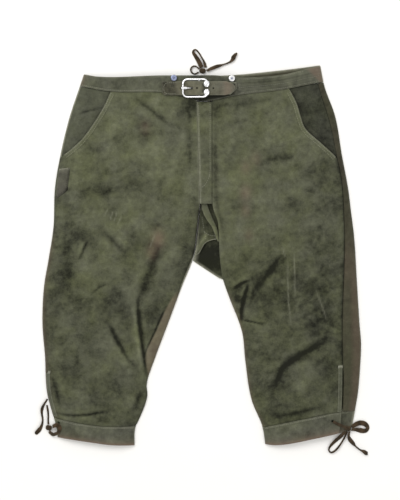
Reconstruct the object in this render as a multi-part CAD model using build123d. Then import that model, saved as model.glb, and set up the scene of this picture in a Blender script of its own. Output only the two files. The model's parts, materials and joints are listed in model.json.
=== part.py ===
"""Suede leather knee breeches, lying flat on their back.

Millimetres, +Y towards the waist, +Z up, origin on the ground under the middle of the garment.
"right" and "left" are the wearer's: right is -X, left is +X.
"""
from build123d import *
import math
import os

# ---------------------------------------------------------------- driving dimensions
LEATHER = 1.8            # panel leather
BAND = 2.6               # doubled leather of the waistband and knee bands
BAND_RISE = 0.8          # how far a band stands above the panels beside it
LINING = 0.8             # cotton of the pocket bags
GAP = 0.3                # room between neighbouring pieces
EDGE_Z = 5.6             # top of the front layer where it meets the back at a seam
RIM_Z = 3.5              # top of the turned seam allowance
RIM_W = 8.0              # width of the turned seam allowance
INSET = 0.3              # how far it stays inside the outline
FOLD_Y = -46.0           # line on which a leg folds up
WRAP_Z = 5.0             # seam allowance where the back leather wraps round the left side
WRAP_IN = 0.4            # how far the wrapped leather starts inside the outline

WAIST_Z = 15.0           # top of the front layer at the waist
FLY_SLOPE = 0.0337       # rise of the front layer per millimetre down the fly
FLY_TOP_Y, FLY_BOTTOM_Y = 309.0, 106.0
FLAP_HINGE_X = 21.0      # stitch line that the fly flap folds on
CENTRE_X = -2.0          # centre front seam
CROTCH_Y = 104.0

ZIP_X = 6.0              # middle of the zip
ZIP_TOP_Y, ZIP_BOTTOM_Y = 304.0, 126.0
ZIP_DROP = 5.3           # depth of the zip's middle below the flap's top
TOOTH_PITCH = 3.6
TOOTH = (2.6, 1.9, 2.0)  # across, along, high
TOOTH_OFFSET = 1.9       # middle of a tooth from the middle of the zip
SLIDER_Y = 296.0

STRAP_Y = 336.0          # middle of the waist strap
STRAP_W, STRAP_T = 28.0, 2.4
STRAP_X = (-79.0, 67.0)
STRAP_Z = 16.4           # underside of the strap where it lies on the band
CHAPE_T, CHAPE_W = 1.4, 24.0
BAR_X, BAR_Z, BAR_R = -5.0, 19.2, 1.25
FRAME_X = (-37.0, 12.0)  # middles of the buckle's two ends
FRAME_Z = (21.0, 25.7)
FRAME_R = 2.0
FRAME_W = 35.0           # between the middles of the side rails

BUTTON_R, BUTTON_T, BUTTON_Z = 6.2, 2.2, 18.0
RIGHT_BUTTON = (-55.0, 356.6)
LEFT_BUTTON = (60.5, 355.6)
TACK_R, TACK_Z = 1.3, 20.2

NOTCH = 16.0             # half width of the opening between the back bands
EYELET_R = 3.0
EYELET_YS = (326.0, 350.0)

LACE_R = 1.6             # lace as a round tube
LACE_Z = 1.9             # its middle where it lies on the ground
HOLE_R = 2.5             # lace holes in the knee bands

os.makedirs("parts", exist_ok=True)


# ---------------------------------------------------------------- outlines
def curve(at, points):
    """Smooth value at `at` through (position, value) points sorted by rising position."""
    k = sum(1 for p in points[1:-1] if p[0] <= at)
    (a, va), (b, vb) = points[k], points[k + 1]
    slope = (vb - va) / (b - a)
    if not points[0][0] <= at <= points[-1][0]:
        return va + slope * (at - a)
    before = (va - points[k - 1][1]) / (a - points[k - 1][0]) if k else slope
    after = (points[k + 2][1] - vb) / (points[k + 2][0] - b) if k + 2 < len(points) else slope
    start = (before + slope) / 2 * (b - a)
    end = (slope + after) / 2 * (b - a)
    u = (at - a) / (b - a)
    hermite = (2 * u**3 - 3 * u**2 + 1, u**3 - 2 * u**2 + u, -2 * u**3 + 3 * u**2, u**3 - u**2)
    return hermite[0] * va + hermite[1] * start + hermite[2] * vb + hermite[3] * end


# x of the garment's edges against y
RIGHT_SIDE = [(-378, -286), (-340, -290), (-306, -300), (-270, -309), (-198, -313), (-134, -318),
              (-60, -315), (0, -305), (60, -296), (138, -293), (218, -279), (282, -263),
              (330, -247), (368, -234)]
LEFT_SIDE = [(-378, 290), (-345, 299), (-300, 308), (-270, 313), (-222, 317), (-174, 319),
             (-134, 316), (-54, 311), (42, 305), (90, 299), (138, 293), (202, 281), (282, 267),
             (341, 246), (384, 237)]
LEFT_SEAM = [(-378, 270), (-322, 278), (-212, 281), (-146, 280), (34, 285), (74, 284), (154, 279),
             (204, 269), (264, 257), (348, 232), (384, 226)]
RIGHT_INNER = [(-378, -134), (-340, -132), (-326, -125), (-278, -108), (-254, -109),
               (-198, -91), (-134, -67), (-54, -37), (-10, -19), (4, -15), (60, -8), (104, -3)]
LEFT_INNER = [(-378, 128), (-341, 122), (-286, 100), (-206, 87), (-156, 82), (-134, 76),
              (-78, 54), (-42, 42), (24, 34), (50, 29), (80, 16), (104, -1)]
# y of the cross seams against x
WAIST_SEAM = [(-255, 344), (-183, 330), (-81, 328), (-33, 320), (-3, 311), (20, 312), (69, 322),
              (165, 334), (223, 346), (250, 351)]
WAIST_TOP = [(-240, 366), (-207, 360), (-81, 362), (-23, 362), (30, 362), (69, 358), (100, 358),
             (165, 364), (213, 376), (245, 383)]
BACK_TOP = [(-240, 364), (-207, 358), (-81, 360), (69, 364), (141, 371), (185, 376), (245, 384)]
RIGHT_KNEE = [(-300, -320), (-243, -332), (-194, -338), (-125, -338)]
RIGHT_HEM = [(-300, -358), (-227, -369), (-177, -375.5), (-125, -376)]
LEFT_KNEE = [(115, -342), (210, -322), (267, -311), (310, -306)]
LEFT_HEM = [(115, -372), (149, -375.5), (229, -362), (275, -352), (310, -345)]
# pocket mouths, x against y
RIGHT_MOUTH = [(196, -286), (206, -271), (221, -252), (239, -234), (264, -216), (302, -193),
               (335, -178)]
LEFT_MOUTH = [(186, 280), (206, 261), (224, 241), (255, 207), (280, 197), (306, 189), (345, 169)]
# height of the front layer's crown against y
CROWN = [(-378, 13.5), (-340, 14.5), (-270, 18), (-150, 22), (-46, 24), (20, 24), (60, 23.7),
         (100, 22.7)] + [(y, WAIST_Z + FLY_SLOPE * (330 - y)) for y in (130, 180, 230, 280, 330)]
CROWN += [(355, WAIST_Z), (385, WAIST_Z)]


def line(points):
    return lambda at: curve(at, points)


def level(value):
    return lambda at: value


right_side, left_side, left_seam = line(RIGHT_SIDE), line(LEFT_SIDE), line(LEFT_SEAM)
right_inner, left_inner = line(RIGHT_INNER), line(LEFT_INNER)
waist_seam, waist_top, back_top = line(WAIST_SEAM), line(WAIST_TOP), line(BACK_TOP)
right_mouth, left_mouth = line(RIGHT_MOUTH), line(LEFT_MOUTH)


def shift(outline, by):
    return lambda at: outline(at) + by


def rise(t):
    """Fast rounding up from a seam, flat from half way on."""
    return 1 - (1 - min(t / 0.5, 1)) ** 3


def top_z(x, y):
    """Top of the front layer: one crown over the seat, one over each leg."""
    drop = min(max((CROTCH_Y - y) / 114, 0), 1)
    if x < (right_inner(y) + left_inner(y)) / 2 or (y > CROTCH_Y and x < CENTRE_X):
        outer, inner = right_side(y), right_inner(min(y, CROTCH_Y))
    else:
        outer, inner = left_side(y), left_inner(min(y, CROTCH_Y))
    t = min(max((x - outer) / (inner - outer), 0), 1)
    full = rise(t) * (1 - drop * (1 - rise(1 - t)))
    return EDGE_Z + (curve(y, CROWN) - EDGE_Z) * full


# ---------------------------------------------------------------- shape helpers
def patch(x0, x1, y0, y1, across=11, along=11):
    """Grid of (x, y) between two side outlines and two cross seams."""
    rows = []
    for i in range(along):
        row = []
        for j in range(across):
            y = (y0(x0(0)) + y1(x0(0))) / 2
            for _ in range(8):
                x = x0(y) + (x1(y) - x0(y)) * j / (across - 1)
                y = y0(x) + (y1(x) - y0(x)) * i / (along - 1)
            row.append((x, y))
        rows.append(row)
    return rows


def sheet(grid, thick, rise_by=0.0):
    """Thin solid over a grid, its top `rise_by` above the front layer's top."""
    points = [[(x, y, top_z(x, y) + rise_by) for x, y in row] for row in grid]
    face = Face.make_surface_from_array_of_points(points)
    return Solid.extrude(face, Vector(0, 0, -thick))


def ribbon(path, width, count=13):
    """Grid along an (x against y) outline, `width` wide towards +X or -X."""
    low, high, outline = path
    rows = []
    for i in range(count):
        y = low + (high - low) * i / (count - 1)
        rows.append([(outline(y) + width * j / 3, y) for j in range(4)])
    return rows


def flat_face(x0, x1, y0, y1, z, count=15):
    """Plane face between two side outlines and two cross seams."""
    rows = patch(x0, x1, y0, y1, count, count)
    bottom, top = rows[0], rows[-1]
    start, end = [row[0] for row in rows], [row[-1] for row in rows]
    edges = [Spline(*side) for side in (bottom, end, top[::-1], start[::-1])]
    return Pos(0, 0, z) * make_face(edges)


def plate(x0, x1, y0, y1, z0, z1):
    return extrude(flat_face(x0, x1, y0, y1, z0), z1 - z0)


def prism(points, z0=-5, z1=60):
    return extrude(Pos(0, 0, z0) * make_face(Polyline(*points, close=True)), z1 - z0)


def peg(x, y, radius, z0, z1):
    return Pos(x, y, z0) * Cylinder(radius, z1 - z0, align=(Align.CENTER, Align.CENTER, Align.MIN))


def brick(x0, x1, y0, y1, z0, z1):
    size = (x1 - x0, y1 - y0, z1 - z0)
    return Pos((x0 + x1) / 2, (y0 + y1) / 2, (z0 + z1) / 2) * Box(*size)


def save(shape, node):
    export_step(shape, f"parts/{node}.step")


def tube(points, radius):
    """Round tube of straight runs and the largest arcs that they allow."""
    corners = [Vector(*p) for p in points]
    runs = [b - a for a, b in zip(corners, corners[1:])]
    radii = []
    for before, after in zip(runs, runs[1:]):
        turn = math.radians(before.get_angle(after))
        radii.append(0.45 * min(before.length, after.length) / math.tan(turn / 2))
    path = FilletPolyline(*points, radius=radii)
    section = Plane(origin=path @ 0, z_dir=path % 0) * Circle(radius)
    solid = sweep(section, path=path)
    full = math.pi * radius**2 * path.length
    print(f"  tube {path.length:.0f} long, radii", " ".join(f"{r:.0f}" for r in radii),
          f"volume {solid.volume / full:.3f}")
    return solid


# ---------------------------------------------------------------- seat: front and back
def pocket_cut(mouth, low, high, outer_x):
    """Prism over the corner of a front panel outside its slanted pocket mouth."""
    ys = [low + (high - low) * i / 12 for i in range(13)]
    edge = Spline(*[(mouth(y), y) for y in ys])
    rest = Polyline((mouth(high), high), (outer_x, high), (outer_x, low), (mouth(low), low))
    return extrude(make_face([edge, rest]), 60)


def fly_edge(y):
    """Free edge of the fly flap."""
    return -9.0 + 6.0 * (FLY_TOP_Y - y) / (FLY_TOP_Y - FLY_BOTTOM_Y)


def right_front_upper():
    """From the side seam to the fly; below the crotch to the inner leg."""
    def inner(y):
        return min(fly_edge(y), right_inner(y)) - GAP if y < CROTCH_Y else fly_edge(y) - GAP
    grid = patch(right_side, inner, level(FOLD_Y), shift(waist_seam, -GAP), 13, 21)
    return sheet(grid, LEATHER) - pocket_cut(right_mouth, 196, 345, -330)


def left_front_upper():
    def inner(y):
        return FLAP_HINGE_X if y > 74 else max(FLAP_HINGE_X, left_inner(y)) + GAP
    grid = patch(inner, left_seam, level(FOLD_Y), shift(waist_seam, -GAP), 13, 21)
    return sheet(grid, LEATHER) - pocket_cut(left_mouth, 186, 356, 330)


def fly_flap():
    grid = patch(fly_edge, level(FLAP_HINGE_X - GAP), level(FLY_BOTTOM_Y), level(FLY_TOP_Y), 5, 9)
    return sheet(grid, LEATHER)


def crotch_gusset():
    """Kite of leather between the legs, sloping from the fly down to the seat."""
    corners = [(-1, 98, 15), (30, 32, 9), (36, -24, 5), (-10, 2, 5)]
    middle = (14, 24, 9)
    sides = []
    for a, b in zip(corners, corners[1:] + corners[:1]):
        face = make_face(Polyline(a, b, middle, close=True))
        sides.append(Solid.extrude(face.face(), Vector(0, 0, -1.4)))
    whole = sides[0]
    for side in sides[1:]:
        whole = whole + side
    return whole


def back_upper(side):
    """Back panel: flat on the ground, with turned seam allowances at its edges."""
    if side == "right":
        outer, inner, split = right_side, right_inner, -1
    else:
        outer, inner, split = left_side, left_inner, 1
    seat_y = -10.0

    centre = level(CENTRE_X + split * GAP / 2)
    top = shift(waist_seam, -GAP)
    if split < 0:
        body = plate(outer, centre, level(CROTCH_Y), top, 0, LEATHER)
        body += plate(outer, inner, level(FOLD_Y), level(CROTCH_Y), 0, LEATHER)
        body += plate(shift(outer, INSET), shift(outer, RIM_W), level(FOLD_Y), level(186), 1, RIM_Z)
        body += plate(shift(inner, -RIM_W), shift(inner, -INSET), level(FOLD_Y), level(20), 1, RIM_Z)
        return body
    body = plate(centre, outer, level(CROTCH_Y), top, 0, LEATHER)
    body += plate(shift(right_inner, 0.5), outer, level(seat_y), level(CROTCH_Y), 0, LEATHER)
    seat = make_face(Polyline((-14, seat_y), (41, FOLD_Y), (60, FOLD_Y), (60, seat_y), close=True))
    body += extrude(seat, LEATHER)
    body += plate(inner, outer, level(FOLD_Y), level(seat_y), 0, LEATHER)
    body += plate(shift(outer, -RIM_W), shift(outer, -INSET), level(FOLD_Y), level(186), 1, WRAP_Z)
    body += plate(shift(inner, INSET), shift(inner, RIM_W), level(FOLD_Y), level(20), 1, RIM_Z)
    wrap = patch(shift(left_seam, GAP), shift(outer, -WRAP_IN), level(FOLD_Y), level(186), 5, 15)
    return body + sheet(wrap, LEATHER)


def front_waistband(side):
    if side == "right":
        grid = patch(right_side, level(-6.5), waist_seam, waist_top, 13, 4)
        button = RIGHT_BUTTON
    else:
        grid = patch(level(-6.5 + GAP), left_side, waist_seam, waist_top, 13, 4)
        button = LEFT_BUTTON
    return sheet(grid, BAND, BAND_RISE) - peg(*button, TACK_R, 0, 30)


def back_waistband(side):
    """Flat band whose end stands over the lacing at the centre back."""
    sign = -1 if side == "right" else 1
    end, step = CENTRE_X + sign * NOTCH, CENTRE_X + sign * (NOTCH + 16)
    outer = right_side if side == "right" else left_side
    lift = 2 * LACE_R + 0.4
    top = lift + BAND - 0.6

    def part_of(near, far, inset, z0, z1):
        ends = (far, near) if side == "right" else (near, far)
        return plate(*ends, shift(waist_seam, inset), shift(back_top, -inset), z0, z1)
    band = part_of(level(step), outer, 0, 0, BAND)
    band += part_of(level(step - sign), level(step + sign * 2), INSET, 0.5, top)
    band += part_of(level(end), level(step + sign), 2 * INSET, lift, top - 0.3)
    for y in EYELET_YS:
        band -= peg(end + sign * 8, y, EYELET_R, -1, 20)
    return band


# ---------------------------------------------------------------- pockets
def pocket_facing(side):
    """Leather behind the slanted mouth, seen between the mouth and the side seam."""
    if side == "right":
        grid = patch(right_side, shift(right_mouth, 12), level(197), shift(waist_seam, -GAP), 9, 11)
    else:
        grid = patch(shift(left_mouth, -12), left_side, level(188), shift(waist_seam, -GAP), 9, 11)
    return sheet(grid, 1.4, -2.1)


def tray(outline, inside, low, high, wall):
    """Pouch that follows the front layer: a floor at `low`, open where `inside` runs past."""
    xs, ys = [p[0] for p in outline], [p[1] for p in outline]
    ends = (level(min(xs) - 2), level(max(xs) + 2), level(min(ys) - 2), level(max(ys) + 2))
    grid = patch(*ends, 9, 9)
    block = sheet(grid, high - low, high) & prism(outline)
    return block - (sheet(grid, high - low, high + wall) & prism(inside))


def pocket_bag(side):
    """Cotton bag under the front panel, open towards the mouth."""
    outline = [(-182, 318), (-150, 318), (-138, 200), (-150, 100), (-200, 78), (-236, 100),
               (-246, 190), (-224, 234), (-206, 268)]
    inside = [(-183, 320), (-151.5, 316), (-139.5, 200), (-151, 101.5), (-200, 80), (-234.5, 101),
              (-247, 191), (-226, 236), (-208, 270)]
    if side == "left":
        outline = [(-x * 0.98 + 4, y) for x, y in outline[::-1]]
        inside = [(-x * 0.98 + 4, y) for x, y in inside[::-1]]
    return tray(outline, inside, -9.2, -2.3, LINING)


def pocket_binding(side):
    if side == "right":
        return sheet(ribbon((206, 328, right_mouth), 9), LINING, LINING + 0.1)
    return sheet(ribbon((200, 334, left_mouth), -9), LINING, LINING + 0.1)


def knife_pocket():
    """Narrow pouch sewn over the right side seam, open at the top."""
    outline = [(-284, 176), (-262, 178), (-267, 133), (-291, 115)]
    inside = [(-283, 179), (-263.5, 181), (-268.5, 134), (-289.5, 118)]
    low, high, wall = 0.2, 7.9, 1.0
    grid = patch(level(-296), level(-255), level(105), level(185), 9, 9)
    block = sheet(grid, high - low, high) & prism(outline)
    return block - (sheet(grid, high - low, high - wall) & prism(inside))


# ---------------------------------------------------------------- fly and zip
def fly_top_z(y):
    """Straight line down the fly, a little under the front layer's top."""
    return WAIST_Z + FLY_SLOPE * (330 - y)


FLY_TILT = Plane(origin=(ZIP_X, 0, fly_top_z(0) - ZIP_DROP), x_dir=(1, 0, 0),
                 z_dir=(0, FLY_SLOPE, 1))


def on_fly(shape):
    """Lay a shape modelled about the zip's middle on the slope of the fly."""
    return FLY_TILT * shape


def zip_tape(side):
    x0, x1 = (-16.0, -1.1) if side == "right" else (1.1, 14.6)
    return on_fly(brick(x0, x1, ZIP_BOTTOM_Y - 6, ZIP_TOP_Y + 2, -0.3, 0.3)
                  - brick(-4, 4, ZIP_BOTTOM_Y - 3, ZIP_TOP_Y - 1, -1, 1))


def zip_teeth(side):
    """One row of the chain: every tooth a solid of its own."""
    sign, offset = (-1, 0.0) if side == "right" else (1, TOOTH_PITCH / 2)
    row = []
    y = ZIP_BOTTOM_Y + offset
    while y < ZIP_TOP_Y - 3:
        middle = sign * TOOTH_OFFSET
        row.append(on_fly(brick(middle - TOOTH[0] / 2, middle + TOOTH[0] / 2, y, y + TOOTH[1],
                                -TOOTH[2] / 2, TOOTH[2] / 2)))
        y += TOOTH_PITCH
    return Compound(row)


def zip_stops():
    low = on_fly(brick(-4, 4, ZIP_BOTTOM_Y - 6, ZIP_BOTTOM_Y - 3.2, 0.4, 1.4))
    tops = [on_fly(brick(x - 1.3, x + 1.3, ZIP_TOP_Y - 0.6, ZIP_TOP_Y + 1.6, 0.4, 1.4))
            for x in (-2.6, 2.6)]
    return Compound([low] + tops)


def zip_slider():
    """Two plates either side of the chain, joined by a thin blade in its middle."""
    half = TOOTH[2] / 2 + 0.25
    top = brick(-4.4, 4.4, SLIDER_Y - 6, SLIDER_Y + 6, half, half + 0.8)
    bottom = brick(-4.4, 4.4, SLIDER_Y - 6, SLIDER_Y + 6, -half - 0.8, -half)
    blade = brick(-0.3, 0.3, SLIDER_Y - 2, SLIDER_Y + 5, -half - 0.1, half + 0.1)
    return on_fly(fillet((top + bottom + blade).edges().filter_by(Axis.Z).group_by(Axis.X)[0], 1.5))


def zip_pull():
    """Flat tab lying down the zip, hooked to the slider."""
    z0 = TOOTH[2] / 2 + 0.25 + 0.8 + 0.02
    tab = brick(-2.6, 2.6, SLIDER_Y - 22, SLIDER_Y + 3, z0, z0 + 0.8)
    return on_fly(tab - peg(0, SLIDER_Y - 18, 1.2, z0 - 1, z0 + 2))


def fly_shield():
    """Leather tongue behind the zip."""
    return on_fly(brick(-28, 24, ZIP_BOTTOM_Y - 14, ZIP_TOP_Y + 4, -3.9, -2.7))


# ---------------------------------------------------------------- strap and buckle
def across_y(outline, half):
    """Extrude an XZ outline to `half` each side of the strap's middle."""
    plane = Plane(origin=(0, STRAP_Y, 0), x_dir=(1, 0, 0), z_dir=(0, -1, 0))
    return extrude(plane * make_face(outline), half, both=True)


def layer(points, thick):
    """Closed XZ outline of a layer of leather whose underside runs through `points`."""
    upper = [(x, z + thick) for x, z in reversed(points)]
    return Polyline(*points, *upper, close=True)


def waist_strap():
    """Sewn to the right band, threaded under, over and under the buckle, tip to the left."""
    over = BAR_Z + BAR_R + CHAPE_T + 0.35
    end = STRAP_Z + 2 * CHAPE_T + 0.3
    under = [(STRAP_X[0], STRAP_Z), (-32, STRAP_Z), (-22, over), (-1, over), (8, end),
             (STRAP_X[1], end)]
    strap = across_y(layer(under, STRAP_T), STRAP_W / 2)
    tip = STRAP_X[1]
    half = STRAP_W / 2
    plan = make_face(Polyline((STRAP_X[0], STRAP_Y + half), (tip - 18, STRAP_Y + half),
                              (tip - 6, STRAP_Y + 9), (tip, STRAP_Y + 2), (tip - 1, STRAP_Y - 4),
                              (tip - 12, STRAP_Y - 12), (tip - 20, STRAP_Y - half),
                              (STRAP_X[0] + 4, STRAP_Y - half), (STRAP_X[0], STRAP_Y - half + 6),
                              close=True))
    strap = strap & extrude(plan, 60)
    for k in (-41, -9, 23.5):
        strap -= peg(k, STRAP_Y, 1.7, 0, 40)
    slot = brick(-28, -17.2, STRAP_Y - 2.4, STRAP_Y + 2.4, 0, 40)
    return strap - slot


def buckle_chape():
    """Short strap folded round the buckle's bar and sewn to the left band."""
    lower_z, upper_z = STRAP_Z, STRAP_Z + CHAPE_T + 0.1
    loop = BAR_R + 0.15
    end_x = 69.0
    lower = layer([(BAR_X, lower_z), (end_x, lower_z)], CHAPE_T)
    folded = across_y(lower, CHAPE_W / 2)
    upper = layer([(BAR_X, BAR_Z + loop), (BAR_X + 2, BAR_Z + loop), (8, upper_z),
                   (end_x, upper_z)], CHAPE_T)
    folded += across_y(upper, CHAPE_W / 2)
    plane = Plane(origin=(BAR_X, STRAP_Y, BAR_Z), x_dir=(1, 0, 0), z_dir=(0, -1, 0))
    ring = Circle(loop + CHAPE_T) - Circle(loop) - Pos(5, 0) * Rectangle(10, 20)
    folded += extrude(plane * ring, CHAPE_W / 2, both=True)
    folded -= brick(BAR_X - 6, BAR_X + 8, STRAP_Y - 2.6, STRAP_Y + 2.6, 0, 40)
    wedge = prism([(end_x - 6, STRAP_Y - 14), (end_x + 1, STRAP_Y - 6), (end_x + 1, STRAP_Y - 14)])
    return folded - wedge


def buckle_frame():
    """Rounded frame with two thick lobes at its tip end and a dropped middle bar."""
    rise_angle = math.degrees(math.atan2(FRAME_Z[1] - FRAME_Z[0], FRAME_X[1] - FRAME_X[0]))
    length = math.hypot(FRAME_Z[1] - FRAME_Z[0], FRAME_X[1] - FRAME_X[0])
    plane = Plane(origin=(FRAME_X[0], STRAP_Y, FRAME_Z[0])) * Rot(0, -rise_angle, 0)
    half, round_by = FRAME_W / 2, 9.0
    outline = FilletPolyline((length, 2.4), (length, half), (0, half), (0, -half),
                             (length, -half), (length, -2.4), radius=round_by)
    wire = plane * outline
    frame = sweep(Plane(origin=wire @ 0, z_dir=wire % 0) * Circle(FRAME_R), path=wire)
    for sign in (-1, 1):
        lobe = Pos(length - 2, sign * 8.6, 0) * scale(Sphere(1), by=(5.8, 6.6, 2.4))
        frame += plane * lobe
    bar_z = FRAME_Z[0] + (BAR_X - FRAME_X[0]) * math.tan(math.radians(rise_angle))
    for sign in (-1, 1):
        y = STRAP_Y + sign * (half - 0.6)
        frame += peg(BAR_X, y, BAR_R, BAR_Z, bar_z)
        frame += Pos(BAR_X, y, BAR_Z) * Sphere(BAR_R)
    bar = Pos(BAR_X, STRAP_Y, BAR_Z) * Rot(90, 0, 0) * Cylinder(BAR_R, FRAME_W - 1.2)
    return frame + bar


def buckle_prong():
    """Ring on the bar and a bent arm whose tip rests on the frame's far end."""
    ring = Rot(90, 0, 0) * (Cylinder(2.6, 3.4) - Cylinder(BAR_R + 0.12, 4))
    ring = Pos(BAR_X, STRAP_Y, BAR_Z) * ring
    radius = 1.3
    points = [(BAR_X - 1.6, STRAP_Y, 19.4), (-18.2, STRAP_Y, 19.2), (-25.8, STRAP_Y, 24.7),
              (FRAME_X[0] - 1, STRAP_Y, 24.6)]
    path = FilletPolyline(*points, radius=2.5)
    arm = sweep(Plane(origin=path @ 0, z_dir=path % 0) * Circle(radius), path=path)
    arm += Pos(FRAME_X[0] + 2.4, STRAP_Y, 24.6) * extrude(SlotOverall(12, 4.4), 1.0, both=True)
    clear = Pos(BAR_X, STRAP_Y, BAR_Z) * Rot(90, 0, 0) * Cylinder(BAR_R + 0.12, 6)
    return ring + arm - clear


# ---------------------------------------------------------------- brace buttons
def button_tacks():
    """Nails of the two brace buttons, with their washers on the band."""
    tacks = []
    for x, y in (RIGHT_BUTTON, LEFT_BUTTON):
        tacks.append(peg(x, y, TACK_R, 9.0, TACK_Z) + peg(x, y, 3.2, 16.1, 16.9)
                     + peg(x, y, 3.4, 9.0, 10.2))
    return Compound(tacks)


def button_cap(spot):
    """Domed cap that turns on its nail."""
    dome = peg(*spot, BUTTON_R, BUTTON_Z, BUTTON_Z + BUTTON_T + 0.8)
    dome = fillet(dome.edges().group_by(Axis.Z)[-1], 1.2)
    dish = Pos(spot[0], spot[1], BUTTON_Z + BUTTON_T + 1.9) * Sphere(2.4)
    return dome - dish - peg(*spot, TACK_R + 0.3, BUTTON_Z - 1, TACK_Z + 0.3)


# ---------------------------------------------------------------- back lacing
def back_gusset():
    """Leather behind the notch at the centre back."""
    width = NOTCH + 22
    z0 = 2 * LACE_R + 0.4 + BAND
    return brick(CENTRE_X - width, CENTRE_X + width, 316, 356, z0, z0 + 1.2)


def back_eyelets():
    """Metal rings in the four lace holes of the back bands."""
    z0 = 2 * LACE_R + 0.4
    rings = []
    for sign in (-1, 1):
        for y in EYELET_YS:
            ring = peg(CENTRE_X + sign * (NOTCH + 8), y, EYELET_R, z0, z0 + BAND - 0.9)
            rings.append(ring - peg(CENTRE_X + sign * (NOTCH + 8), y, EYELET_R - 1, 0, 20))
    return Compound(rings)


def back_lacing():
    """Two straight stretches of lace across the notch, under the bands."""
    reach = NOTCH + 8 + 2
    across = [Pos(CENTRE_X, y, LACE_R + 0.1) * Rot(0, 90, 0) * Cylinder(LACE_R, 2 * reach)
              for y in EYELET_YS]
    return Compound(across)


# ---------------------------------------------------------------- legs
def at_fold(outline):
    return outline(FOLD_Y)


def leg_parts(side):
    """Front and back leather of one leg below the fold line, and its knee band."""
    if side == "right":
        outer, inner = right_side, right_inner
        knee, hem = line(RIGHT_KNEE), line(RIGHT_HEM)
        seam, hole = outer, (-285.0, -331.0)
    else:
        outer, inner = left_side, left_inner
        knee, hem = line(LEFT_KNEE), line(LEFT_HEM)
        seam, hole = left_seam, (261.0, -327.0)
    sign = -1 if side == "right" else 1
    lo, hi = (seam, inner) if side == "right" else (inner, seam)
    top = level(FOLD_Y - GAP)
    parts = {}
    grid = patch(lo, hi, shift(knee, GAP), top, 13, 19)
    parts["front_leg"] = sheet(grid, LEATHER)
    lo_o, hi_o = (outer, inner) if side == "right" else (inner, outer)
    back = plate(lo_o, hi_o, shift(knee, GAP), top, 0, LEATHER)
    rim_z = RIM_Z if side == "right" else WRAP_Z
    rim_out = (shift(outer, -sign * INSET), shift(outer, -sign * RIM_W))
    rim_in = (shift(inner, sign * RIM_W), shift(inner, sign * INSET))
    back += plate(*sorted(rim_out, key=at_fold), level(-296), top, 1, rim_z)
    back += plate(*sorted(rim_in, key=at_fold), shift(knee, GAP), top, 1, RIM_Z)
    if side == "left":
        wrap = patch(shift(left_seam, 1.0), shift(outer, -WRAP_IN), level(-296), top, 5, 15)
        back += sheet(wrap, LEATHER)
    parts["back_leg"] = back
    grid = patch(lo, hi, hem, knee, 13, 4)
    band = sheet(grid, BAND, BAND_RISE)
    parts["knee_band_front"] = band - peg(*hole, HOLE_R, 0, 30)
    parts["knee_band_back"] = plate(lo_o, hi_o, hem, knee, 0, BAND)
    strip = ribbon((-304, -216, shift(seam, -sign * 0.5)), -sign * 7.5)
    parts["slit_placket"] = sheet(strip, LINING, LINING + 0.1)
    return parts


# ---------------------------------------------------------------- laces
KNOT = (7.5, 6.0, 3.4)   # half sizes of a tied knot
WAIST_KNOT = (2.0, 372.0, 3.6)
RIGHT_KNOT = (-305.0, -341.0, 3.6)
LEFT_KNOT = (292.0, -342.0, 6.4)

# routes of the free laces, from the knot or the garment outwards
WAIST_LACES = {
    "waist_bow_loop_large": [(0, 378.5, 4), (-5, 391, 3), (-12.5, 402, 2.2), (-18, 410, 1.9),
                             (-13, 416, 1.9), (-6, 410, 1.9), (1, 398, 2.4), (7, 387, 3),
                             (8, 378.5, 4)],
    "waist_bow_loop_small": [(-5.8, 369.5, 3.4), (-11, 365, 2.4), (-19, 367, 1.9),
                             (-22.5, 375, 1.9), (-17.5, 382, 1.9), (-9.5, 381.5, 2.8),
                             (-4.6, 375.5, 3.8)],
    "waist_bow_tail": [(10.4, 372, 3.8), (22, 378, 2.4), (37, 383, 1.9), (52, 387, 1.9),
                       (62, 393, 1.9), (65, 402, 1.9), (71, 408, 1.9)],
}
LEFT_LACES = {
    "left_knee_loop": [(288, -348.2, 6.2), (282, -355, 4.6), (268, -367, 2.4), (257, -378, 2),
                       (253.5, -386, 1.9), (259, -392, 1.9), (268, -387, 1.9), (277, -376, 1.9),
                       (285.5, -362, 2.8), (291, -348.4, 6)],
    "left_knee_tail": [(296, -348.6, 5.8), (293.5, -355.5, 3.2), (295.5, -364, 2),
                       (302, -371, 1.9), (309, -379.5, 1.9), (317.5, -386, 1.9),
                       (326, -389, 1.9), (332, -395, 1.9)],
    "left_knee_side_loop": [(299.9, -339.5, 6.6), (308, -334, 4), (318, -331, 2),
                            (328, -333.5, 1.9), (333.5, -341, 1.9), (328, -348.5, 1.9),
                            (317, -346.5, 1.9), (307.5, -344.5, 3.6), (300, -344.5, 6.4)],
}
RIGHT_LACES = {
    "right_knee_outer_lace": [(-308, -284, 1.9), (-314, -293, 1.9), (-319, -303, 1.9),
                              (-319.5, -313, 1.9), (-317, -323, 1.9), (-318, -334, 1.9),
                              (-323, -345, 1.9), (-332, -354, 1.9)],
    "right_knee_inner_lace": [(-309, -296, 1.9), (-307, -306, 1.9), (-306, -317, 1.9),
                              (-306.6, -326, 1.9), (-306, -334.4, 2.6)],
    "right_knee_loop": [(-297.4, -339, 6.4), (-291, -334, 10.6), (-283, -338, 12),
                        (-282.5, -347, 12), (-290, -353, 10.5), (-298.5, -355, 6.5),
                        (-304.5, -348.6, 3.4)],
}


def knot(spot, stub=()):
    """Tied knot, with the short stretch of lace that pulls it to its hole."""
    body = Pos(*spot) * scale(Sphere(1), by=KNOT)
    for a, b in zip(stub, stub[1:]):
        run = Vector(*b) - Vector(*a)
        body += Plane(origin=a, z_dir=run) * Cylinder(LACE_R, run.length,
                                                      align=(Align.CENTER, Align.CENTER, Align.MIN))
        body += Pos(*b) * Sphere(LACE_R)
    return body


LEFT_STUB = [(290, -341, 8), (280, -337, 14.2), (271, -333, 15.8), (262, -328, 16.3)]

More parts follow.
